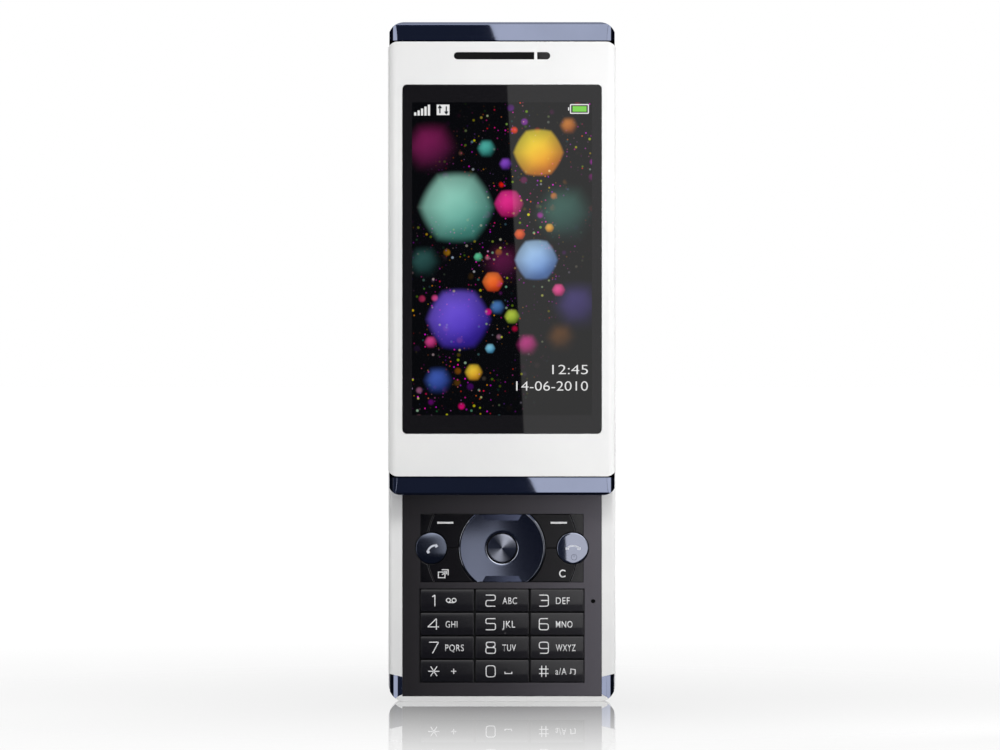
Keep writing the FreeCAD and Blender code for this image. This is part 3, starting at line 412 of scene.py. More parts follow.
# Display window: mineral glass, polished, printed black behind, with the lit picture showing through.
# The picture is soft six-sided lights over a scatter of fine specks, on black.
screenLook = {
    # where the cell shows through, in mm: the picture is on the front face only
    "window": {"X": (-19.7, 19.7), "Y": (-7.8, -7.7), "Z": (63.0, 131.5)},
    "print": "#171618", "cell": "#040405", "night": "#020202", "front": -7.75, "rough": 0.01,
    # pitch, size as a share of it, how rare
    "specks": [(2.9, 0.34, 0.55), (1.5, 0.26, 0.4), (0.8, 0.3, 0.42)],
    # the specks lie thick along a leaning band: its direction, and where it rises and falls
    "lean": (0.94, 0, -0.34), "rise": (-58, -36), "fall": (-14, -30),
    "cloud": 9, "cloudReach": (0.38, 0.56), "speckEdge": 0.4, "vivid": {"Saturation": 1.7, "Value": 0.9},
    # how far the lights' outline is round, not six-sided, and how they dim outwards and to one side
    "round": 0.45, "dimFrom": 0.2, "dimTo": 1.1, "dim": 0.45, "shadeAlong": (0.5, 0, -0.86), "shadeReach": 0.8,
    # x, z, radius, softness, light side, dark side
    "lights": [
        (-15.5, 121.5, 4.6, 0.35, "#7a1a52", "#380b2a"), (13.8, 107.0, 5.2, 0.40, "#3a6258", "#1a3634"),
        (16.6, 87.0, 4.2, 0.45, "#40356e", "#201844"), (-17.0, 96.5, 2.8, 0.40, "#2a524f", "#142c2b"),
        (0.5, 96.0, 3.4, 0.55, "#5a1640", "#2c0a22"), (13.0, 80.0, 2.6, 0.50, "#5c3a16", "#2e1c0a"),
        (-9.5, 84.0, 6.3, 0.13, "#7458dc", "#3c26a6"), (-10.0, 108.5, 7.2, 0.15, "#9ad6c4", "#4a9286"),
        (8.0, 120.5, 5.0, 0.08, "#f4dc34", "#e58618"), (7.5, 97.0, 4.3, 0.09, "#a8ccf0", "#587fc0"),
        (1.5, 109.3, 2.9, 0.12, "#ec3292", "#ae1062"), (-2.0, 92.2, 2.1, 0.12, "#f47a34", "#d04416"),
        (2.2, 84.6, 1.5, 0.20, "#b8cc46", "#768e28"), (-3.4, 121.4, 1.7, 0.28, "#4fb4a8", "#266e68"),
        (12.4, 90.4, 1.3, 0.20, "#e85298", "#ae2866"), (14.6, 126.4, 1.6, 0.35, "#c87c30", "#8a4816"),
        (-6.2, 72.4, 1.7, 0.20, "#e6c63a", "#cc9020"), (-14.0, 70.6, 2.5, 0.35, "#3e5ab0", "#22367a"),
        (3.9, 102.6, 1.1, 0.15, "#ea6834", "#c0441a"), (-15.6, 79.0, 1.2, 0.25, "#d04488", "#8e2058"),
        (5.6, 78.4, 2.0, 0.35, "#b83080", "#6c1648"), (-2.6, 77.6, 1.0, 0.20, "#80c4dc", "#4284a8"),
        (0.8, 118.0, 1.2, 0.30, "#8a4ac8", "#4c2480"), (-1.0, 86.6, 1.4, 0.30, "#4a7ab8", "#284878"),
        (10.4, 104.0, 0.9, 0.20, "#e8b04a", "#b87c24"), (-5.2, 97.6, 0.9, 0.20, "#62c89a", "#2f7a58")],
}
material, tree = newMaterial("polishedDisplayGlass")
place = patternPlace(tree)
lean = combineVectors(tree, "DOT_PRODUCT", place, screenLook["lean"])
thick = rescale(tree, noise(tree, place, screenLook["cloud"]), *screenLook["cloudReach"])
for start, stop in (screenLook["rise"], screenLook["fall"]):
    thick = combine(tree, "MULTIPLY", thick, rescale(tree, lean, start * mm, stop * mm, smooth=True))
picture = (0, 0, 0, 1)
for pitch, size, lowest in screenLook["specks"]:
    cells = addNode(tree, "TexVoronoi", {}, {"Vector": place, "Scale": 1 / (pitch * mm)}).outputs
    tint = addNode(tree, "HueSaturation", {}, {"Color": cells["Color"], **screenLook["vivid"]})
    dot = rescale(tree, cells["Distance"], size, size * screenLook["speckEdge"], smooth=True)
    chance = addNode(tree, "SeparateColor", {}, {"Color": cells["Color"]}).outputs["Red"]
    chosen = rescale(tree, chance, lowest, 1.0)
    amount = combine(tree, "MULTIPLY", combine(tree, "MULTIPLY", dot, thick), chosen)
    layer = blend(tree, amount, toLinear(screenLook["night"]), tint.outputs[0])
    picture = blend(tree, 1.0, picture, layer, "LIGHTEN")
for x, z, radius, softness, lightSide, darkSide in screenLook["lights"]:
    offset = combineVectors(tree, "SUBTRACT", place, (x * mm, screenLook["front"] * mm, z * mm))
    folded = combineVectors(tree, "ABSOLUTE", offset)
    slant = combineVectors(tree, "DOT_PRODUCT", folded, (0.866, 0, 0.5))
    upright = combineVectors(tree, "DOT_PRODUCT", folded, (0, 0, 1))
    shape = addNode(tree, "Mix", {}, {
        "Factor": screenLook["round"], "A": combine(tree, "MAXIMUM", slant, upright),
        "B": combineVectors(tree, "LENGTH", offset)}).outputs[0]
    reach = radius * mm
    inside = rescale(tree, shape, reach * (1 + softness), reach * (1 - softness), smooth=True)
    depth = rescale(tree, shape, reach * screenLook["dimFrom"], reach * screenLook["dimTo"],
                    1.0, screenLook["dim"], smooth=True)
    side = combineVectors(tree, "DOT_PRODUCT", offset, screenLook["shadeAlong"])
    side = rescale(tree, side, -reach * screenLook["shadeReach"], reach * screenLook["shadeReach"])
    colour = blend(tree, side, toLinear(lightSide), toLinear(darkSide))
    picture = blend(tree, combine(tree, "MULTIPLY", inside, depth), picture, colour)
lit = 1.0
for axis, limits in screenLook["window"].items():
    for operation, limit in zip(("GREATER_THAN", "LESS_THAN"), limits):
        within = combine(tree, operation, splitAxes(tree, place)[axis], limit * mm)
        lit = combine(tree, "MULTIPLY", lit, within)
finishSurface(tree, {
    "Base Color": blend(tree, lit, toLinear(screenLook["print"]), toLinear(screenLook["cell"])),
    "Roughness": screenLook["rough"], "IOR": 1.5,
    "Emission Color": blend(tree, lit, (0, 0, 0, 1), picture), "Emission Strength": 1.0})
materials["screen_glass"] = material

# Lit marks on the display: the same glass with a plain light in it
litLook = {"litWhite": "#e6e6e6", "litGreen": "#7ad24a", "litDark": "#202428"}
inks = {}
for name, hexColour in litLook.items():
    material, tree = newMaterial(name)
    shade = rescale(tree, noise(tree, patternPlace(tree), 0.16), 0.0, 1.0, 0.92, 1.02)
    finishSurface(tree, {
        "Base Color": toLinear("#0d0c0e"), "Roughness": screenLook["rough"], "IOR": 1.5,
        "Emission Color": blend(tree, shade, (0, 0, 0, 1), toLinear(hexColour)), "Emission Strength": 1.0})
    inks[name] = material

# Key legends: pad-printed ink, matt and very slightly uneven
printLook = {"patch": 0.4, "grit": 0.1}
printInks = {
    "keyWhite": {"name": "padPrintedWhite", "tones": ("#dededf", "#f0f0f1"), "rough": (0.5, 0.6)},
    "keyPale": {"name": "padPrintedPale", "tones": ("#ccd0dc", "#dcdfe8"), "rough": (0.4, 0.5)},
    "keyFaint": {"name": "padPrintedGrey", "tones": ("#6c7084", "#787c90"), "rough": (0.4, 0.5)},
}
for name, look in printInks.items():
    inks[name] = speckledMaterial({**printLook, **look})

for nodeName, node in nodes.items():
    paint(node, materials[slotOf[nodeName]])
# the microphone takes the dark perforated mesh finish, so its sound hole shows dark
paint(nodes["microphone"], materials["mesh"])
print("materials made:", len(materials) + len(inks))


# Pieces that keep the solid's form, with their edges rounded as moulded ones are; edges in mm

shells = {
    "slide_bezel": {"name": "bezelShell", "edge": 0.05},
    "top_end_cap": {"name": "topCap", "edge": 0.04, "angle": 15},
    "bottom_end_cap": {"name": "bottomCap", "edge": 0.05, "angle": 15},
    "lower_chassis": {"name": "keypadChassis", "edge": 0.03},
    "rear_housing": {"name": "backHousing", "edge": 0.08},
    "battery_cover": {"name": "batteryDoor", "edge": 0.15},
    "keypad_panel": {"name": "keypadFascia", "edge": 0.06},
    "corner_tiles": {"name": "cornerTiles", "edge": 0.08},
    "corner_trims": {"name": "cornerTrims", "edge": 0.02, "angle": 15},
    "display_glass": {"name": "displayWindow", "edge": 0.12},
    "camera_trim": {"name": "cameraPlate", "edge": 0.1},
    "flash_lens": {"name": "flashWindow", "edge": 0.1},
    "front_sensor": {"name": "frontSensor", "edge": 0.06},
    "track_plate": {"name": "trackPlate", "edge": 0.04},
    "side_connector": {"name": "sideConnector", "edge": 0.04},
    "volume_rocker": {"name": "volumeKey", "edge": 0.08},
    "camera_key": {"name": "cameraKey", "edge": 0.08},
}
numberKeys = ["key_" + number for number in ("1", "2", "3", "4", "5", "6", "7", "8", "9", "star", "0", "hash")]
softKeys = ["key_soft_left", "key_soft_right", "key_menu", "key_clear"]
for nodeName in numberKeys:
    shells[nodeName] = {"name": "numberKey" + nodeName[4:].capitalize(), "edge": 0.2, "steps": 3}
for nodeName in softKeys:
    shells[nodeName] = {"name": "softKey" + nodeName[4:].replace("_", "").capitalize(), "edge": 0.08}
dressed = {}
for nodeName, look in shells.items():
    dressed[nodeName] = softenedCopy(nodeName, look)
    paint(dressed[nodeName], materials[slotOf[nodeName]])


def paintFaces(piece, material, isChosen):
    # a second finish on the faces that are chosen
    piece.data.materials.append(material)
    for face in piece.data.polygons:
        if isChosen(face):
            face.material_index = len(piece.data.materials) - 1


# painted highlight on the right-hand edges of the number keys, where they catch the light; the limits are those of a
# face's direction
edgeHighlightLook = {"right": 0.3, "front": -0.3}
for nodeName in numberKeys:
    paintFaces(dressed[nodeName], materials["keyEdge"],
               lambda face: face.normal.x > edgeHighlightLook["right"] and face.normal.y < edgeHighlightLook["front"])
# the tiles match the keys beside them, and both get a painted highlight, a pale line along the arc between them;
# radii in mm
arcLook = {"radius": 16.7, "reach": 0.3, "z": 33.7, "steepest": -0.1, "flattest": -0.95}


def isOnArc(face):
    away = math.hypot(face.center.x / mm, face.center.z / mm - arcLook["z"])
    return arcLook["flattest"] < face.normal.y < arcLook["steepest"] and \
        abs(away - arcLook["radius"]) < arcLook["reach"]


for nodeName in ["corner_tiles"] + softKeys:
    paint(dressed[nodeName], materials["cornerTile" if nodeName == "corner_tiles" else "softKey"])
    paintFaces(dressed[nodeName], materials["keyEdge"], isOnArc)
print("softened pieces:", len(dressed))


# Mirror finishes show every facet, so gently curved faces get the true direction of their curve

def turnNormals(piece, directionAt):
    # directionAt(face, place in mm) is the surface's direction there, or None where the mesh's own stays
    mesh = piece.data
    directions = [Vector(corner.vector) for corner in mesh.corner_normals]
    for face in mesh.polygons:
        for loop in face.loop_indices:
            direction = directionAt(face, mesh.vertices[mesh.loops[loop].vertex_index].co / mm)
            if direction is not None:
                directions[loop] = Vector(direction).normalized()
    mesh.normals_split_custom_set(directions)


# how far a face may turn to the side or up and still be a front or a facet; the least facet in mm2
curveLook = {"front": -0.985, "side": 0.02, "facet": -0.5, "up": 0.1, "least": 0.5}


def trueCurve(piece, slopeAt, isFaceted):
    # slopeAt(z in mm) is the surface's fall per millimetre of height; facets beside it stay flat
    def directionAt(face, place):
        normal, isSquare = face.normal, abs(face.normal.x) < curveLook["side"]
        if isFaceted and not isSquare and normal.y < curveLook["facet"] and abs(normal.z) < curveLook["up"] \
                and face.area > curveLook["least"] * mm * mm:
            return normal
        if isSquare and normal.y < curveLook["front"]:
            return (0, -1, slopeAt(place.z))
        return None
    turnNormals(piece, directionAt)


# falls of the caps' and the number keys' faces, and the caps' flat rim, in mm
fallLook = {"cap": 0.12, "rim": 0.55, "key": 0.2}
bezelLow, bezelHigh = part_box("slide_bezel")
for nodeName, start, end in (
        ("top_end_cap", bezelHigh.z / mm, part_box("top_end_cap")[1].z / mm - fallLook["rim"]),
        ("bottom_end_cap", bezelLow.z / mm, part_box("bottom_end_cap")[0].z / mm + fallLook["rim"])):
    run = end - start
    trueCurve(dressed[nodeName], lambda z: 2 * fallLook["cap"] * min(max((z - start) / run, 0), 1) / run, True)
trueCurve(dressed["corner_trims"], lambda z: 0, True)
for nodeName in numberKeys:
    low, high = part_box(nodeName)
    middle, half = faceMiddle(nodeName)[1], (high.z - low.z) / 2 / mm
    trueCurve(dressed[nodeName], lambda z: 2 * fallLook["key"] * (z - middle) / half ** 2, False)
print("curves trued")


# Turned pieces: a profile spun round the key's own axis

# lengths in mm, angle in degrees; mapReach is the radius that the finish's map spans
turning = {"merge": 0.0005, "smooth": 30, "mapReach": 10, "thickness": 0.7,
           "domeSteps": 12, "rimSteps": 5, "keySteps": 96}


def turnedPiece(name, centre, profile, steps):
    # profile is (radius, y) in mm, from the middle of the face outwards and back
    points = [(centre[0] * mm + radius * mm, y * mm, centre[1] * mm) for radius, y in profile]
    piece = meshPiece(name, points, [(n, n + 1) for n in range(len(points) - 1)], [])
    editAll(piece)
    bpy.ops.mesh.spin(steps=steps, angle=math.tau, center=(centre[0] * mm, 0, centre[1] * mm), axis=(0, 1, 0))
    bpy.ops.mesh.select_all(action="SELECT")
    bpy.ops.mesh.remove_doubles(threshold=turning["merge"] * mm)
    bpy.ops.mesh.normals_make_consistent(inside=False)
    bpy.ops.object.mode_set(mode="OBJECT")
    bpy.ops.object.shade_smooth_by_angle(angle=math.radians(turning["smooth"]))
    wrapRound(piece, centre)
    return piece


def wrapRound(piece, centre):
    # a map whose u runs round the axis and v out from it, for a spun finish
    mesh = piece.data
    layer = mesh.uv_layers.new(name="spun")
    for face in mesh.polygons:
        angles = {}
        for loop in face.loop_indices:
            place = mesh.vertices[mesh.loops[loop].vertex_index].co
            x, z = place.x - centre[0] * mm, place.z - centre[1] * mm
            away = math.hypot(x, z) / mm
            if away > 2 * turning["merge"]:
                angles[loop] = math.atan2(z, x) / math.tau
            layer.data[loop].uv = (0, away / turning["mapReach"])
        if max(angles.values()) - min(angles.values()) > 0.5:
            angles = {loop: angle + 1 if angle < 0 else angle for loop, angle in angles.items()}
        middle = sum(angles.values()) / len(angles)
        for loop in face.loop_indices:
            layer.data[loop].uv[0] = angles.get(loop, middle)


def domedProfile(radius, domeRadius, edgeRadius, front, back):
    # a shallow dome with a rounded rim, then the side down to the back
    sag = lambda r: domeRadius - math.sqrt(domeRadius ** 2 - r ** 2)
    flat = radius - edgeRadius
    radii = [flat * n / turning["domeSteps"] for n in range(turning["domeSteps"] + 1)]
    profile = [(r, front + sag(r)) for r in radii]
    for n in range(turning["rimSteps"]):
        turn = math.pi / 2 * (n + 1) / turning["rimSteps"]
        profile.append((flat + edgeRadius * math.sin(turn), front + sag(flat) + edgeRadius * (1 - math.cos(turn))))
    return profile + [(radius, back), (0, back)]


keyDiscs = {
    "key_call": {"name": "callKey", "radius": 3.45, "dome": 123, "lift": 20, "edge": 0.18, "finish": "deepKeyMetal"},
    "key_end": {"name": "endKey", "radius": 3.45, "dome": 238, "edge": 0.18, "finish": "roundKeyMetal"},
    "nav_select": {"name": "selectKey", "radius": 3.15, "dome": 60, "edge": 0.2, "finish": "spunSteel"},
}
for nodeName, look in keyDiscs.items():
    *centre, front = faceMiddle(nodeName)
    profile = domedProfile(look["radius"], look["dome"], look["edge"], front, front + turning["thickness"])
    piece = turnedPiece(look["name"], centre, profile, turning["keySteps"])
    paint(piece, materials[look["finish"]])
    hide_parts(nodeName)
    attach(piece, nodeName)
    dressed[nodeName] = piece
    if "lift" in look:
        # rounder from top to bottom than across
        turnNormals(piece, lambda face, place: (
            (place.x - centre[0]) / look["dome"], -1, (place.z - centre[1]) / look["lift"])
            if face.normal.y < -0.99 else None)
print("turned keys made")


# Navigation ring: a hollowed, metallised ring with a raised edge, two flats and two finger notches

ringLook = {
    "outer": 9.5, "crest": 9.12, "bandFall": 0.26, "hole": 3.45, "dish": 90.0, "flat": 7.4, "edge": 0.12,
    "crestRound": 0.06, "crestDrop": 0.008, "dishSteps": 14, "steps": 144, "smooth": 28,
    "notchWide": 4.94, "notchNarrow": 3.6, "notchHeight": 1.3, "notchDepth": 0.32, "notchTurn": 0.0042,
    # a face this far behind the front and from the middle is a notch's floor
    "floorDepth": 0.27, "floorHeight": 5.9,
}
ringZ, ringFront = faceMiddle("nav_ring")[1:]
ringBack = ringFront + turning["thickness"]
outer, crest, hole, edge = ringLook["outer"], ringLook["crest"], ringLook["hole"], ringLook["edge"]
hollow = lambda r: ringFront + (crest ** 2 - r ** 2) / 2 / ringLook["dish"]
band = ringFront + ringLook["bandFall"]
dishStart, dishRun = hole + edge, crest - ringLook["crestRound"] - hole - edge
profile = [(hole, ringBack), (hole, hollow(hole) + edge), (hole + edge * 0.3, hollow(hole) + edge * 0.3)]
for step in range(ringLook["dishSteps"] + 1):
    radius = dishStart + dishRun * step / ringLook["dishSteps"]
    profile.append((radius, hollow(radius)))
profile += [(crest, ringFront), (crest + ringLook["crestRound"], ringFront + ringLook["crestDrop"]),
            (outer - edge, band), (outer - edge * 0.3, band + edge * 0.3), (outer, band + edge),
            (outer, ringBack), (hole, ringBack)]
ringPiece = turnedPiece("navigationRing", (0, ringZ), profile, ringLook["steps"])
editAll(ringPiece)
for level in (1, -1):
    bpy.ops.mesh.select_all(action="SELECT")
    bpy.ops.mesh.bisect(plane_co=(0, 0, (ringZ + level * ringLook["flat"]) * mm), plane_no=(0, 0, level),
                        use_fill=True, clear_outer=True)
bpy.ops.object.mode_set(mode="OBJECT")
for level in (1, -1):
    deselectAll()
    bpy.ops.mesh.primitive_cube_add(size=2)
    cutter = bpy.context.active_object
    rim = ringZ + level * ringLook["flat"]
    # the cutter reaches 1 mm past the ring outwards and forwards
    for corner in cutter.data.vertices:
        isOutside = corner.co.z * level > 0
        x = corner.co.x * ringLook["notchWide" if isOutside else "notchNarrow"]
        z = rim + level * (1.0 if isOutside else -ringLook["notchHeight"])
        floorY = ringFront + ringLook["notchDepth"] + x * ringLook["notchTurn"]
        corner.co = (x * mm, (floorY if corner.co.y > 0 else ringFront - 1) * mm, z * mm)
    applyModifier(ringPiece, "notch", "BOOLEAN", {"object": cutter, "operation": "DIFFERENCE", "solver": "EXACT"})
    bpy.data.objects.remove(cutter)
smoothSharp(ringPiece, ringLook["smooth"])
paint(ringPiece, materials["ringMetal"])


def isNotchFloor(face):
    return face.normal.y < -0.9 and face.center.y > (ringFront + ringLook["floorDepth"]) * mm \
        and abs(face.center.z / mm - ringZ) > ringLook["floorHeight"]


def isRingRim(face):
    away = math.hypot(face.center.x / mm, face.center.z / mm - ringZ)
    return face.normal.y < -0.2 and not hole + edge <= away <= crest and not isNotchFloor(face)


paintFaces(ringPiece, materials["notchMetal"], isNotchFloor)
# painted highlight: the ring's edges outside its dish take a paler, slightly more polished copy of the ring's metal
paintFaces(ringPiece, materials["rimMetal"], isRingRim)
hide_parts("nav_ring")
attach(ringPiece, "nav_ring")
dressed["nav_ring"] = ringPiece
print("ring made")


# Flat marks: strokes and letters laid on a surface as a thin film of ink

def line(*points, bend=0, closed=False):
    # points (x, z) in mm, and the radius at its corners
    return points, bend, closed


def circle(x, z, radius, sides):
    turns = [math.tau * n / sides for n in range(sides)]
    return line(*[(x + radius * math.cos(turn), z + radius * math.sin(turn)) for turn in turns], closed=True)


def fitted(strokes, left, right, low, high):
    # strokes drawn in a unit box, placed in a box in mm
    return [([(left + x * (right - left), low + z * (high - low)) for x, z in points], bend, closed)
            for points, bend, closed in strokes]


# steps in a corner's arc, the longest straight step in mm, and how far a sharp corner may narrow
strokeLook = {"arc": 4, "step": 0.3, "narrowest": 0.6}


def roundedPath(points, bend, closed):
    # straight runs with small arcs at the corners, in short steps
    steps = []
    count = len(points)
    for number, point in enumerate(points):
        here = Vector(point)
        if bend == 0 or not closed and number in (0, count - 1):
            steps.append(here)
            continue
        before, after = Vector(points[number - 1]), Vector(points[(number + 1) % count])
        start = here + (before - here).normalized() * min(bend, (here - before).length / 2)
        stop = here + (after - here).normalized() * min(bend, (after - here).length / 2)
        for part in range(strokeLook["arc"] + 1):
            t = part / strokeLook["arc"]
            steps.append(start * (1 - t) ** 2 + here * 2 * t * (1 - t) + stop * t ** 2)
    filled = []
    for first, second in zip(steps, steps[1:] + steps[:1] if closed else steps[1:]):
        pieces = max(1, int((second - first).length / strokeLook["step"]))
        filled += [first.lerp(second, part / pieces) for part in range(pieces)]
    return filled if closed else filled + [steps[-1]]


def strokeMark(name, strokes, look):
    corners, faces = [], []
    for points, bend, closed in strokes:
        path = roundedPath(points, bend, closed)
        start, last = len(corners), len(path) - 1
        for number, here in enumerate(path):
            before = path[number - 1] if closed or number > 0 else here
            after = path[(number + 1) % len(path)] if closed or number < last else here
            into, out = (here - before), (after - here)
            into = into.normalized() if into.length > 0 else out.normalized()
            out = out.normalized() if out.length > 0 else into
            run = (into + out).normalized()
            side = Vector((-run.y, run.x)) * look["width"] / 2 / max(strokeLook["narrowest"], run.dot(into))
            for point in (here - side, here + side):
                corners.append((point.x * mm, look["y"] * mm, point.y * mm))
        for number in range(len(path) if closed else last):
            a, b = start + 2 * number, start + 2 * ((number + 1) % len(path))
            faces.append((a, b, b + 1, a + 1))
    return meshPiece(name, corners, [], faces)


def letterMark(name, words, look):
    # letters from the plain built-in font, fitted between two edges; the height is that of capitals
    deselectAll()
    bpy.ops.object.text_add()
    piece = bpy.context.active_object
    piece.name = name
    piece.data.body = words
    piece.data.offset = look["bold"]
    piece.data.space_character = look.get("space", 1.0)
    bpy.ops.object.convert(target="MESH")
    xs = [v.co.x for v in piece.data.vertices]
    top = max(v.co.y for v in piece.data.vertices)
    tall = look["height"] * mm / top
    wide = (look["right"] - look["left"]) * mm / (max(xs) - min(xs))
    piece.scale = (wide, tall, 1)
    piece.rotation_euler = (math.radians(90), 0, 0)
    piece.location = (look["left"] * mm - min(xs) * wide, look["y"] * mm, look["middle"] * mm - top / 2 * tall)
    bpy.ops.object.transform_apply(location=True, rotation=True, scale=True)
    return piece


def finishMark(piece, target, ink, body, look):
    # the flat mark settles on the target's face, if there is one, and gets the ink's thickness
    if target is not None:
        applyModifier(piece, "settle", "SHRINKWRAP", {
            "target": target, "wrap_method": "PROJECT", "use_project_y": True, "use_positive_direction": True,
            "use_negative_direction": True, "use_project_x": False, "use_project_z": False})
    applyModifier(piece, "film", "SOLIDIFY", {"thickness": look["film"] * mm, "offset": 1.0})
    paint(piece, ink)
    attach(piece, body)


# digits in a unit box
glyphs = {
    "1": [line((0, 0.84), (0.72, 1), (0.72, 0), bend=0.12)],
    "2": [line((0, 1), (1, 1), (1, 0.52), (0, 0.52), (0, 0), (1, 0), bend=0.5)],
    "3": [line((0, 1), (1, 1), (1, 0), (0, 0), bend=0.5), line((0.2, 0.52), (1, 0.52))],
    "4": [line((0.76, 0), (0.76, 1), (0, 0.26), (1, 0.26), bend=0.08)],
    "5": [line((1, 1), (0, 1), (0, 0.56), (1, 0.56), (1, 0), (0, 0), bend=0.4)],
    "6": [line((0.95, 1), (0, 1), (0, 0), (1, 0), (1, 0.54), (0.05, 0.54), bend=0.5)],
    "7": [line((0, 1), (1, 1), (0.36, 0), bend=0.15)],
    "8": [line((0.26, 0.61), (0.04, 0.61), (0.04, 1), (0.96, 1), (0.96, 0.61), (0.74, 0.61), bend=0.4),
          line((0, 0.52), (1, 0.52), (1, 0), (0, 0), bend=0.45, closed=True)],
    "9": [line((0.95, 0.44), (0, 0.44), (0, 1), (1, 1), (1, 0), (0.1, 0), bend=0.5)],
    "0": [line((0, 0), (1, 0), (1, 1), (0, 1), bend=0.65, closed=True)],
    "star": [line((0, 0.5), (1, 0.5)), line((0.22, 0.02), (0.78, 0.98)), line((0.22, 0.98), (0.78, 0.02))],
    "hash": [line((0.28, 0), (0.28, 1)), line((0.72, 0), (0.72, 1)),
             line((0, 0.3), (1, 0.3)), line((0, 0.7), (1, 0.7))],
}
# small signs beside them, with x on the phone and z from the key's middle: two loops, a plus, a space, notes
loops = [circle(0.5, 0.5, 0.5, 16)]
smallSigns = {
    "1": fitted(loops, -12.25, -11.35, -0.35, 0.5) + fitted(loops, -11.0, -10.1, -0.35, 0.5)
         + [line((-11.8, -0.42), (-10.55, -0.42))],
    "star": [line((-10.625, -0.57), (-10.625, 0.57)), line((-11.2, 0), (-10.05, 0))],
    "0": [line((0.65, -0.1), (0.65, -0.5), (2.15, -0.5), (2.15, -0.1))],
    "hash": [line((15.15, -0.45), (15.15, 0.5), (16.1, 0.35), (16.1, -0.6)), line((14.9, -0.5), (15.15, -0.45)),
             line((15.85, -0.65), (16.1, -0.6))],
}
legendLook = {
    "width": 0.21, "height": 2.45, "starHeight": 2.205, "signWidth": 0.2, "y": -1.7, "film": 0.015, "drop": 0.05,
    "letterHeight": 1.46, "letterDrop": 0.02, "bold": 0.006, "space": 1.12,
}
# digit's left and right edge, then the letters with theirs
legends = {
    "1": ((-15.35, -14.55), None), "2": ((-3.55, -1.45), ("ABC", 0.1, 3.3)), "3": ((8.2, 10.2), ("DEF", 11.85, 14.9)),
    "4": ((-16.3, -13.85), ("GHI", -12.4, -9.8)), "5": ((-3.55, -1.45), ("JKL", 0.05, 2.9)),
    "6": ((8.2, 10.2), ("MNO", 11.85, 15.5)), "7": ((-16.05, -13.95), ("PQRS", -12.5, -8.4)),
    "8": ((-3.55, -1.45), ("TUV", 0.1, 3.05)), "9": ((8.2, 10.2), ("WXYZ", 11.85, 16.2)),
    "star": ((-16.25, -13.75), None), "0": ((-3.5, -1.5), None), "hash": ((8.15, 10.25), ("a/A", 11.75, 14.2)),
}
for number, ((left, right), letters) in legends.items():
    nodeName = "key_" + number
    middle = faceMiddle(nodeName)[1] - legendLook["drop"]
    tall = legendLook["starHeight" if number == "star" else "height"]
    strokes = fitted(glyphs[number], left, right, middle - tall / 2, middle + tall / 2)
    marks = [strokeMark("digit" + number.capitalize(), strokes, legendLook)]
    if letters:
        words, first, last = letters
        marks.append(letterMark("letters" + number.capitalize(), words, {
            **legendLook, "left": first, "right": last, "middle": middle - legendLook["letterDrop"],
            "height": legendLook["letterHeight"]}))
    if number in smallSigns:
        strokes = fitted(smallSigns[number], 0, 1, middle, middle + 1)
        marks.append(strokeMark("sign" + number.capitalize(), strokes, {
            **legendLook, "width": legendLook["signWidth"]}))
    for piece in marks:
        finishMark(piece, dressed[nodeName], inks["keyWhite"], nodeName, legendLook)
# the small nib that finds the middle key by touch
nibLook = {"at": (0.65, -1.84, 14.9), "radius": 0.28, "rise": 0.35}
deselectAll()
bpy.ops.mesh.primitive_uv_sphere_add(segments=20, ring_count=12, radius=nibLook["radius"] * mm)
nib = bpy.context.active_object
nib.name = "keyNib"
nib.scale = (1.0, nibLook["rise"], 1.0)
nib.location = Vector(nibLook["at"]) * mm
bpy.ops.object.transform_apply(location=True, rotation=True, scale=True)
bpy.ops.object.shade_smooth()
paint(nib, materials["key_black"])
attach(nib, "key_5")

# signs on the upper key block: node, name, ink, stroke width, strokes
signLook = {"y": -1.85, "film": 0.015}
blockSigns = [
    ("key_soft_left", "softDashLeft", "keyWhite", 0.42, [line((-14.25, 39.3), (-10.7, 39.3))]),
    ("key_soft_right", "softDashRight", "keyWhite", 0.42, [line((10.7, 39.3), (14.3, 39.3))]),
    ("key_menu", "menuSign", "keyWhite", 0.2, [
        line((-14.0, 27.2), (-12.55, 27.2), (-12.55, 28.45), (-14.0, 28.45), closed=True),
        line((-13.25, 28.95), (-11.85, 28.95), (-11.85, 27.75)), line((-13.2, 27.85), (-12.25, 28.5)),
        line((-12.75, 28.55), (-12.2, 28.55), (-12.2, 28.0))]),
    # handsets, each a bow with a bulb at either end
    ("key_call", "callSign", "keyPale", 0.4, [
        line((-16.35, 33.0), (-16.0, 33.7), (-15.35, 34.2), (-14.6, 34.35), bend=0.5)]),
    ("key_end", "endSign", "keyPale", 0.36, [
        line((14.3, 33.7), (14.85, 34.1), (15.65, 34.25), (16.45, 34.1), (17.0, 33.7), bend=0.5)]),
    ("key_call", "callBulbs", "keyPale", 0.62, [
        line((-16.5, 32.75), (-16.0, 33.05)), line((-14.65, 34.45), (-14.3, 33.95))]),
    ("key_end", "endBulbs", "keyPale", 0.55, [
        line((14.0, 33.6), (14.75, 33.62)), line((16.55, 33.62), (17.3, 33.6))]),
    ("key_end", "powerSign", "keyFaint", 0.12, [
        circle(15.85, 31.7, 0.62, 24), line((15.85, 31.75), (15.85, 32.15))]),
]
for nodeName, name, ink, width, strokes in blockSigns:
    piece = strokeMark(name, strokes, {**signLook, "width": width})
    finishMark(piece, dressed[nodeName], inks[ink], nodeName, signLook)
piece = letterMark("clearSign", "C", {
    **signLook, "left": 12.55, "right": 13.95, "middle": 28.15, "height": 1.7, "bold": 0.02})
finishMark(piece, dressed["key_clear"], inks["keyWhite"], "key_clear", signLook)
print("legends laid")


# Marks on the lit display: signal bars, a data sign, a battery, the time and the date

screenMarks = {"y": screenLook["front"], "film": 0.01, "bold": -0.008, "height": 2.05, "right": 18.8, "proud": 0.011}
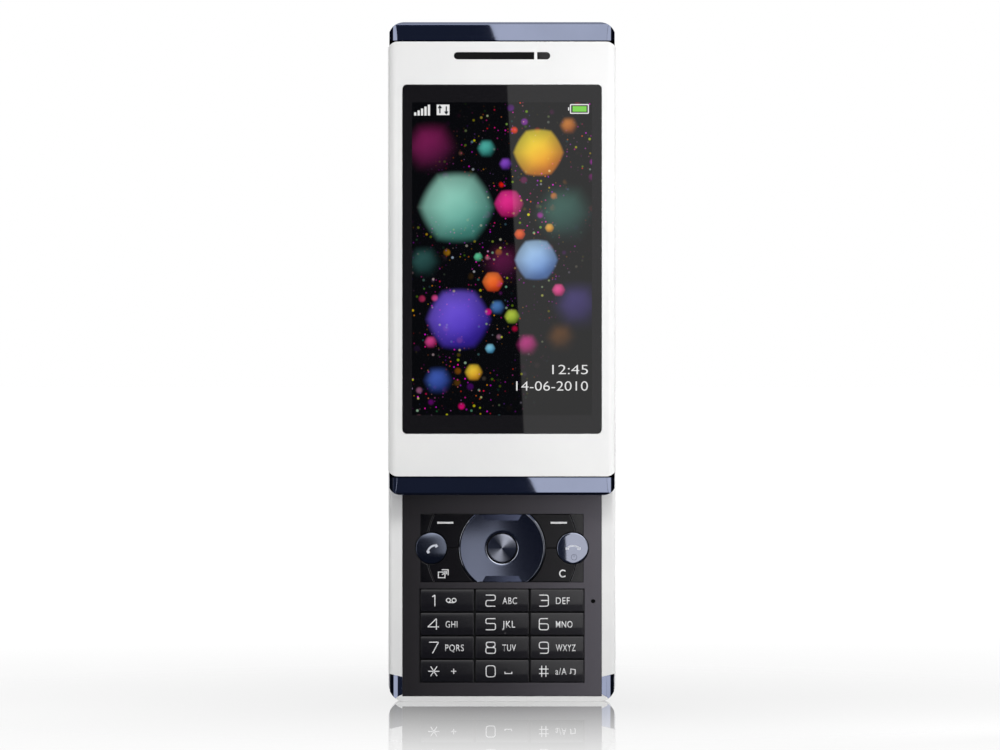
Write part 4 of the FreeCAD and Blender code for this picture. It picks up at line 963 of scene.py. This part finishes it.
# name, ink, stroke width, strokes
screenSigns = [
    ("signalBars", "litWhite", 0.5, [
        line((-19.0 + 0.75 * n, 128.6), (-19.0 + 0.75 * n, 129.3 + 0.42 * n)) for n in range(5)]),
    ("dataTile", "litWhite", 2.3, [line((-14.3, 129.85), (-11.5, 129.85))]),
    ("dataArrows", "litDark", 0.28, [
        line((-13.6, 129.1), (-13.6, 130.6)), line((-13.95, 130.2), (-13.6, 130.7), (-13.25, 130.2)),
        line((-12.2, 130.6), (-12.2, 129.1)), line((-12.55, 129.5), (-12.2, 129.0), (-11.85, 129.5))]),
    ("batteryFrame", "litWhite", 0.25, [
        line((15.0, 129.1), (18.9, 129.1), (18.9, 131.0), (15.0, 131.0), bend=0.1, closed=True),
        line((14.6, 129.7), (14.6, 130.4))]),
    ("batteryLevel", "litGreen", 1.2, [line((15.45, 130.05), (18.5, 130.05))]),
]
for name, ink, width, strokes in screenSigns:
    # the arrows lie on their tile
    y = screenMarks["y"] - (screenMarks["proud"] if name == "dataArrows" else 0)
    piece = strokeMark(name, strokes, {"width": width, "y": y})
    finishMark(piece, None, inks[ink], "upper_slide", screenMarks)
for name, words, left, middle in (("clockDigits", "12:45", 11.0, 73.0), ("dateDigits", "14-06-2010", 3.1, 69.4)):
    piece = letterMark(name, words, {**screenMarks, "left": left, "middle": middle})
    finishMark(piece, None, inks["litWhite"], "upper_slide", screenMarks)
print("display marks laid")


# Studio: pale floor, soft lights, reflected cards and the camera

studio = {
    "cameraAt": (-0.00044, -1.224, 0.0718), "lens": 200, "sensor": 36, "lampAim": (0, 0, 0.08),
    # what gloss surfaces mirror of the world: bands along an axis that rise, stay and fall, with their power
    "ceiling": {"Z": (0.17, 0.34, 0.60, 0.85), "X": (-0.30, 0.05, 0.5, 0.75), "power": 2.4},
    "zenith": {"Z": (0.45, 0.60), "X": (-0.4, -0.2, 0.2, 0.4), "power": 0.5},
    "leftStrip": {"X": (-0.62, -0.56, -0.42, -0.36), "power": 1.5},
    "rightBox": {"X": (0.50, 0.56, 0.70, 0.78), "Z": (0.7, 0.5), "power": 0.95},
    "rims": {"left": (-0.7, -0.9, 0.6), "right": (0.7, 0.9, 1.2), "Y": (-0.40, -0.30, 0.05, 0.2)},
    "behind": (0.5, 0.7, 1.0), "below": (-0.2, -0.02, 1.0), "under": 0.04, "front": (0.1, -0.1, 1.0),
    "ambient": 0.205, "frontDark": 0.042, "sideDark": 0.0105, "darkRun": (-0.3, 0.1), "darkTint": (0.5, 0.62, 1.0, 1),
    "tintTo": 0.4,
    # mirrored cards; x and z in mm
    "cardPower": 0.88, "cardY": -1.3,
    "card": [(-5.4, 420), (-2.3, 240), (2.7, 204), (10.4, 45), (13.2, 0), (16.3, -175),
             (60, -175), (85, -100), (300, -100), (300, 420)],
    "stripEnds": [(-0.40, -0.61), (-0.54, -0.44)], "stripHeights": [(100, 300), (-200, 20)],
    # the floor mirrors less from the phone's foot to the length of its image, and nothing farther out
    "floorSize": 60, "floorAt": (0, 0, -0.00001), "floorNear": 0.81, "floorFar": 0.30, "floorLift": 0.9,
    "mirrorStart": 0.005, "mirrorEnd": 0.157, "mirrorGone": 0.45, "liftEnd": 0.6,
    "floorShade": "#6d6d6d", "floorPale": "#e8e8e8",
}
cameraData = bpy.data.cameras.new("portraitLens")
cameraData.lens = studio["lens"]
cameraData.sensor_width = studio["sensor"]
camera = bpy.data.objects.new("camera", cameraData)
camera.location = studio["cameraAt"]
camera.rotation_euler = (math.radians(90), 0, 0)
bpy.context.collection.objects.link(camera)
bpy.context.scene.camera = camera
bpy.context.scene.view_settings.view_transform = "Standard"

# place and size in metres, power in watts
lamps = {
    "stripRight": {"at": (0.10, -0.10, 0.105), "size": (0.05, 0.16), "power": 0.10},
    "keyTop": {"at": (0.06, -0.35, 0.45), "size": (0.15, 0.15), "power": 1.05},
    "stripLeft": {"at": (-0.12, -0.04, 0.105), "size": (0.05, 0.16), "power": 0.034},
    "fillFront": {"at": (0.0, -1.6, 1.2), "size": (1.2, 1.2), "power": 1.2},
    "backLeft": {"at": (-0.6, 1.2, 0.7), "size": (0.9, 0.9), "power": 13},
    "backRight": {"at": (0.8, 1.1, 0.5), "size": (0.9, 0.9), "power": 6},
}
for name, lamp in lamps.items():
    data = bpy.data.lights.new(name, "AREA")
    data.shape = "RECTANGLE"
    data.size, data.size_y = lamp["size"]
    data.energy = lamp["power"]
    light = bpy.data.objects.new(name, data)
    light.location = lamp["at"]
    aim = Vector(studio["lampAim"]) - light.location
    light.rotation_euler = aim.to_track_quat("-Z", "Y").to_euler()
    light.visible_camera = False
    light.visible_glossy = False
    bpy.context.collection.objects.link(light)

# world: white to the eye, soft ambient on matt surfaces; glossy ones mirror a dark front between a strip at the
# left and a box at the right, under a bright ceiling; the floor's clean mirror sees only white
world = bpy.data.worlds.new("studio")
world.use_nodes = True
tree = world.node_tree
tree.nodes.clear()
bpy.context.scene.world = world
axes = splitAxes(tree, addNode(tree, "TexCoord").outputs["Generated"])


def fade(axis, start, end, power=1.0):
    return rescale(tree, axes[axis], start, end, 0.0, power, smooth=True)


def band(axis, limits, power=1.0):
    start, rise, fall, end = limits
    return combine(tree, "MULTIPLY", fade(axis, start, rise, power), fade(axis, end, fall))


ceiling, zenith, strip = studio["ceiling"], studio["zenith"], studio["leftStrip"]
box, rims, front = studio["rightBox"], studio["rims"], fade("Y", *studio["front"])
rimLight = combine(tree, "MAXIMUM", fade("X", *rims["left"]), fade("X", *rims["right"]))
boxLight = combine(tree, "MULTIPLY", band("X", box["X"], box["power"]), front)
level = combine(tree, "MULTIPLY", band("Z", ceiling["Z"], ceiling["power"]), band("X", ceiling["X"]))
for light in (
        combine(tree, "MULTIPLY", fade("Z", *zenith["Z"], zenith["power"]), band("X", zenith["X"])),
        combine(tree, "MULTIPLY", band("X", strip["X"], strip["power"]), front),
        combine(tree, "MULTIPLY", rimLight, band("Y", rims["Y"])),
        combine(tree, "MULTIPLY", boxLight, fade("Z", *box["Z"])),
        fade("Y", *studio["behind"])):
    level = combine(tree, "MAXIMUM", level, light)
level = combine(tree, "MULTIPLY", level, combine(tree, "MAXIMUM", fade("Z", *studio["below"]), studio["under"]))
dark = rescale(tree, axes["Y"], *studio["darkRun"], studio["frontDark"], studio["sideDark"])
glow = combine(tree, "MAXIMUM", level, dark)
path = addNode(tree, "LightPath").outputs
matt = addNode(tree, "Mix", {}, {"Factor": path["Is Glossy Ray"], "A": studio["ambient"], "B": glow})
plain = combine(tree, "MAXIMUM", path["Is Camera Ray"], path["Is Singular Ray"])
seen = addNode(tree, "Mix", {}, {"Factor": plain, "A": matt.outputs[0], "B": 1.0}).outputs[0]
faint = rescale(tree, seen, studio["frontDark"], studio["tintTo"], 1.0, 0.0)
tint = blend(tree, combine(tree, "MULTIPLY", path["Is Glossy Ray"], faint), (1, 1, 1, 1), studio["darkTint"])
toOutput(tree, addNode(tree, "Background", {}, {"Color": tint, "Strength": seen}), "OutputWorld")

# cards that gloss surfaces mirror: a wide one, bright right of its edge, and two at the left for the caps' facets
corners = [(x * mm, studio["cardY"], z * mm) for x, z in studio["card"]]
faces = [list(range(len(corners)))]
near, far = studio["stripEnds"]
for low, high in studio["stripHeights"]:
    faces.append([len(corners) + n for n in range(4)])
    corners += [(*near, low * mm), (*far, low * mm), (*far, high * mm), (*near, high * mm)]
card = meshPiece("mirrorCards", corners, [], faces)
material, tree = newMaterial("litCard")
power = combine(tree, "MAXIMUM", addNode(tree, "LightPath").outputs["Is Singular Ray"], studio["cardPower"])
toOutput(tree, addNode(tree, "Emission", {}, {"Color": (1, 1, 1, 1), "Strength": power}))
card.data.materials.append(material)
card.visible_camera = card.visible_diffuse = card.visible_shadow = card.visible_transmission = False

deselectAll()
bpy.ops.mesh.primitive_plane_add(size=studio["floorSize"], location=studio["floorAt"])
floor = bpy.context.active_object
floor.name = "floor"
floor.visible_glossy = False
material, tree = newMaterial("polishedWhiteFloor")
away = combineVectors(tree, "LENGTH", patternPlace(tree))
gloss = combine(
    tree, "MULTIPLY",
    rescale(tree, away, studio["mirrorStart"], studio["mirrorEnd"], studio["floorNear"], studio["floorFar"]),
    rescale(tree, away, studio["mirrorEnd"], studio["mirrorGone"], 1.0, 0.0))
toEye = addNode(tree, "LightPath").outputs["Is Camera Ray"]
ground = blend(tree, toEye, toLinear(studio["floorPale"]), toLinear(studio["floorShade"]))
matt = addNode(tree, "BsdfDiffuse", {}, {"Color": ground})
lift = rescale(tree, away, studio["mirrorEnd"], studio["liftEnd"], studio["floorLift"], 1.0)
lift = addNode(tree, "Emission", {}, {"Color": (1, 1, 1, 1), "Strength": combine(tree, "MULTIPLY", toEye, lift)})
pale = addNode(tree, "AddShader", {}, {0: matt.outputs[0], 1: lift.outputs[0]})
mirror = addNode(tree, "BsdfGlossy", {}, {"Roughness": 0.0})
toOutput(tree, addNode(tree, "MixShader", {}, {0: gloss, 1: pale.outputs[0], 2: mirror.outputs[0]}))
floor.data.materials.append(material)
print("studio set")
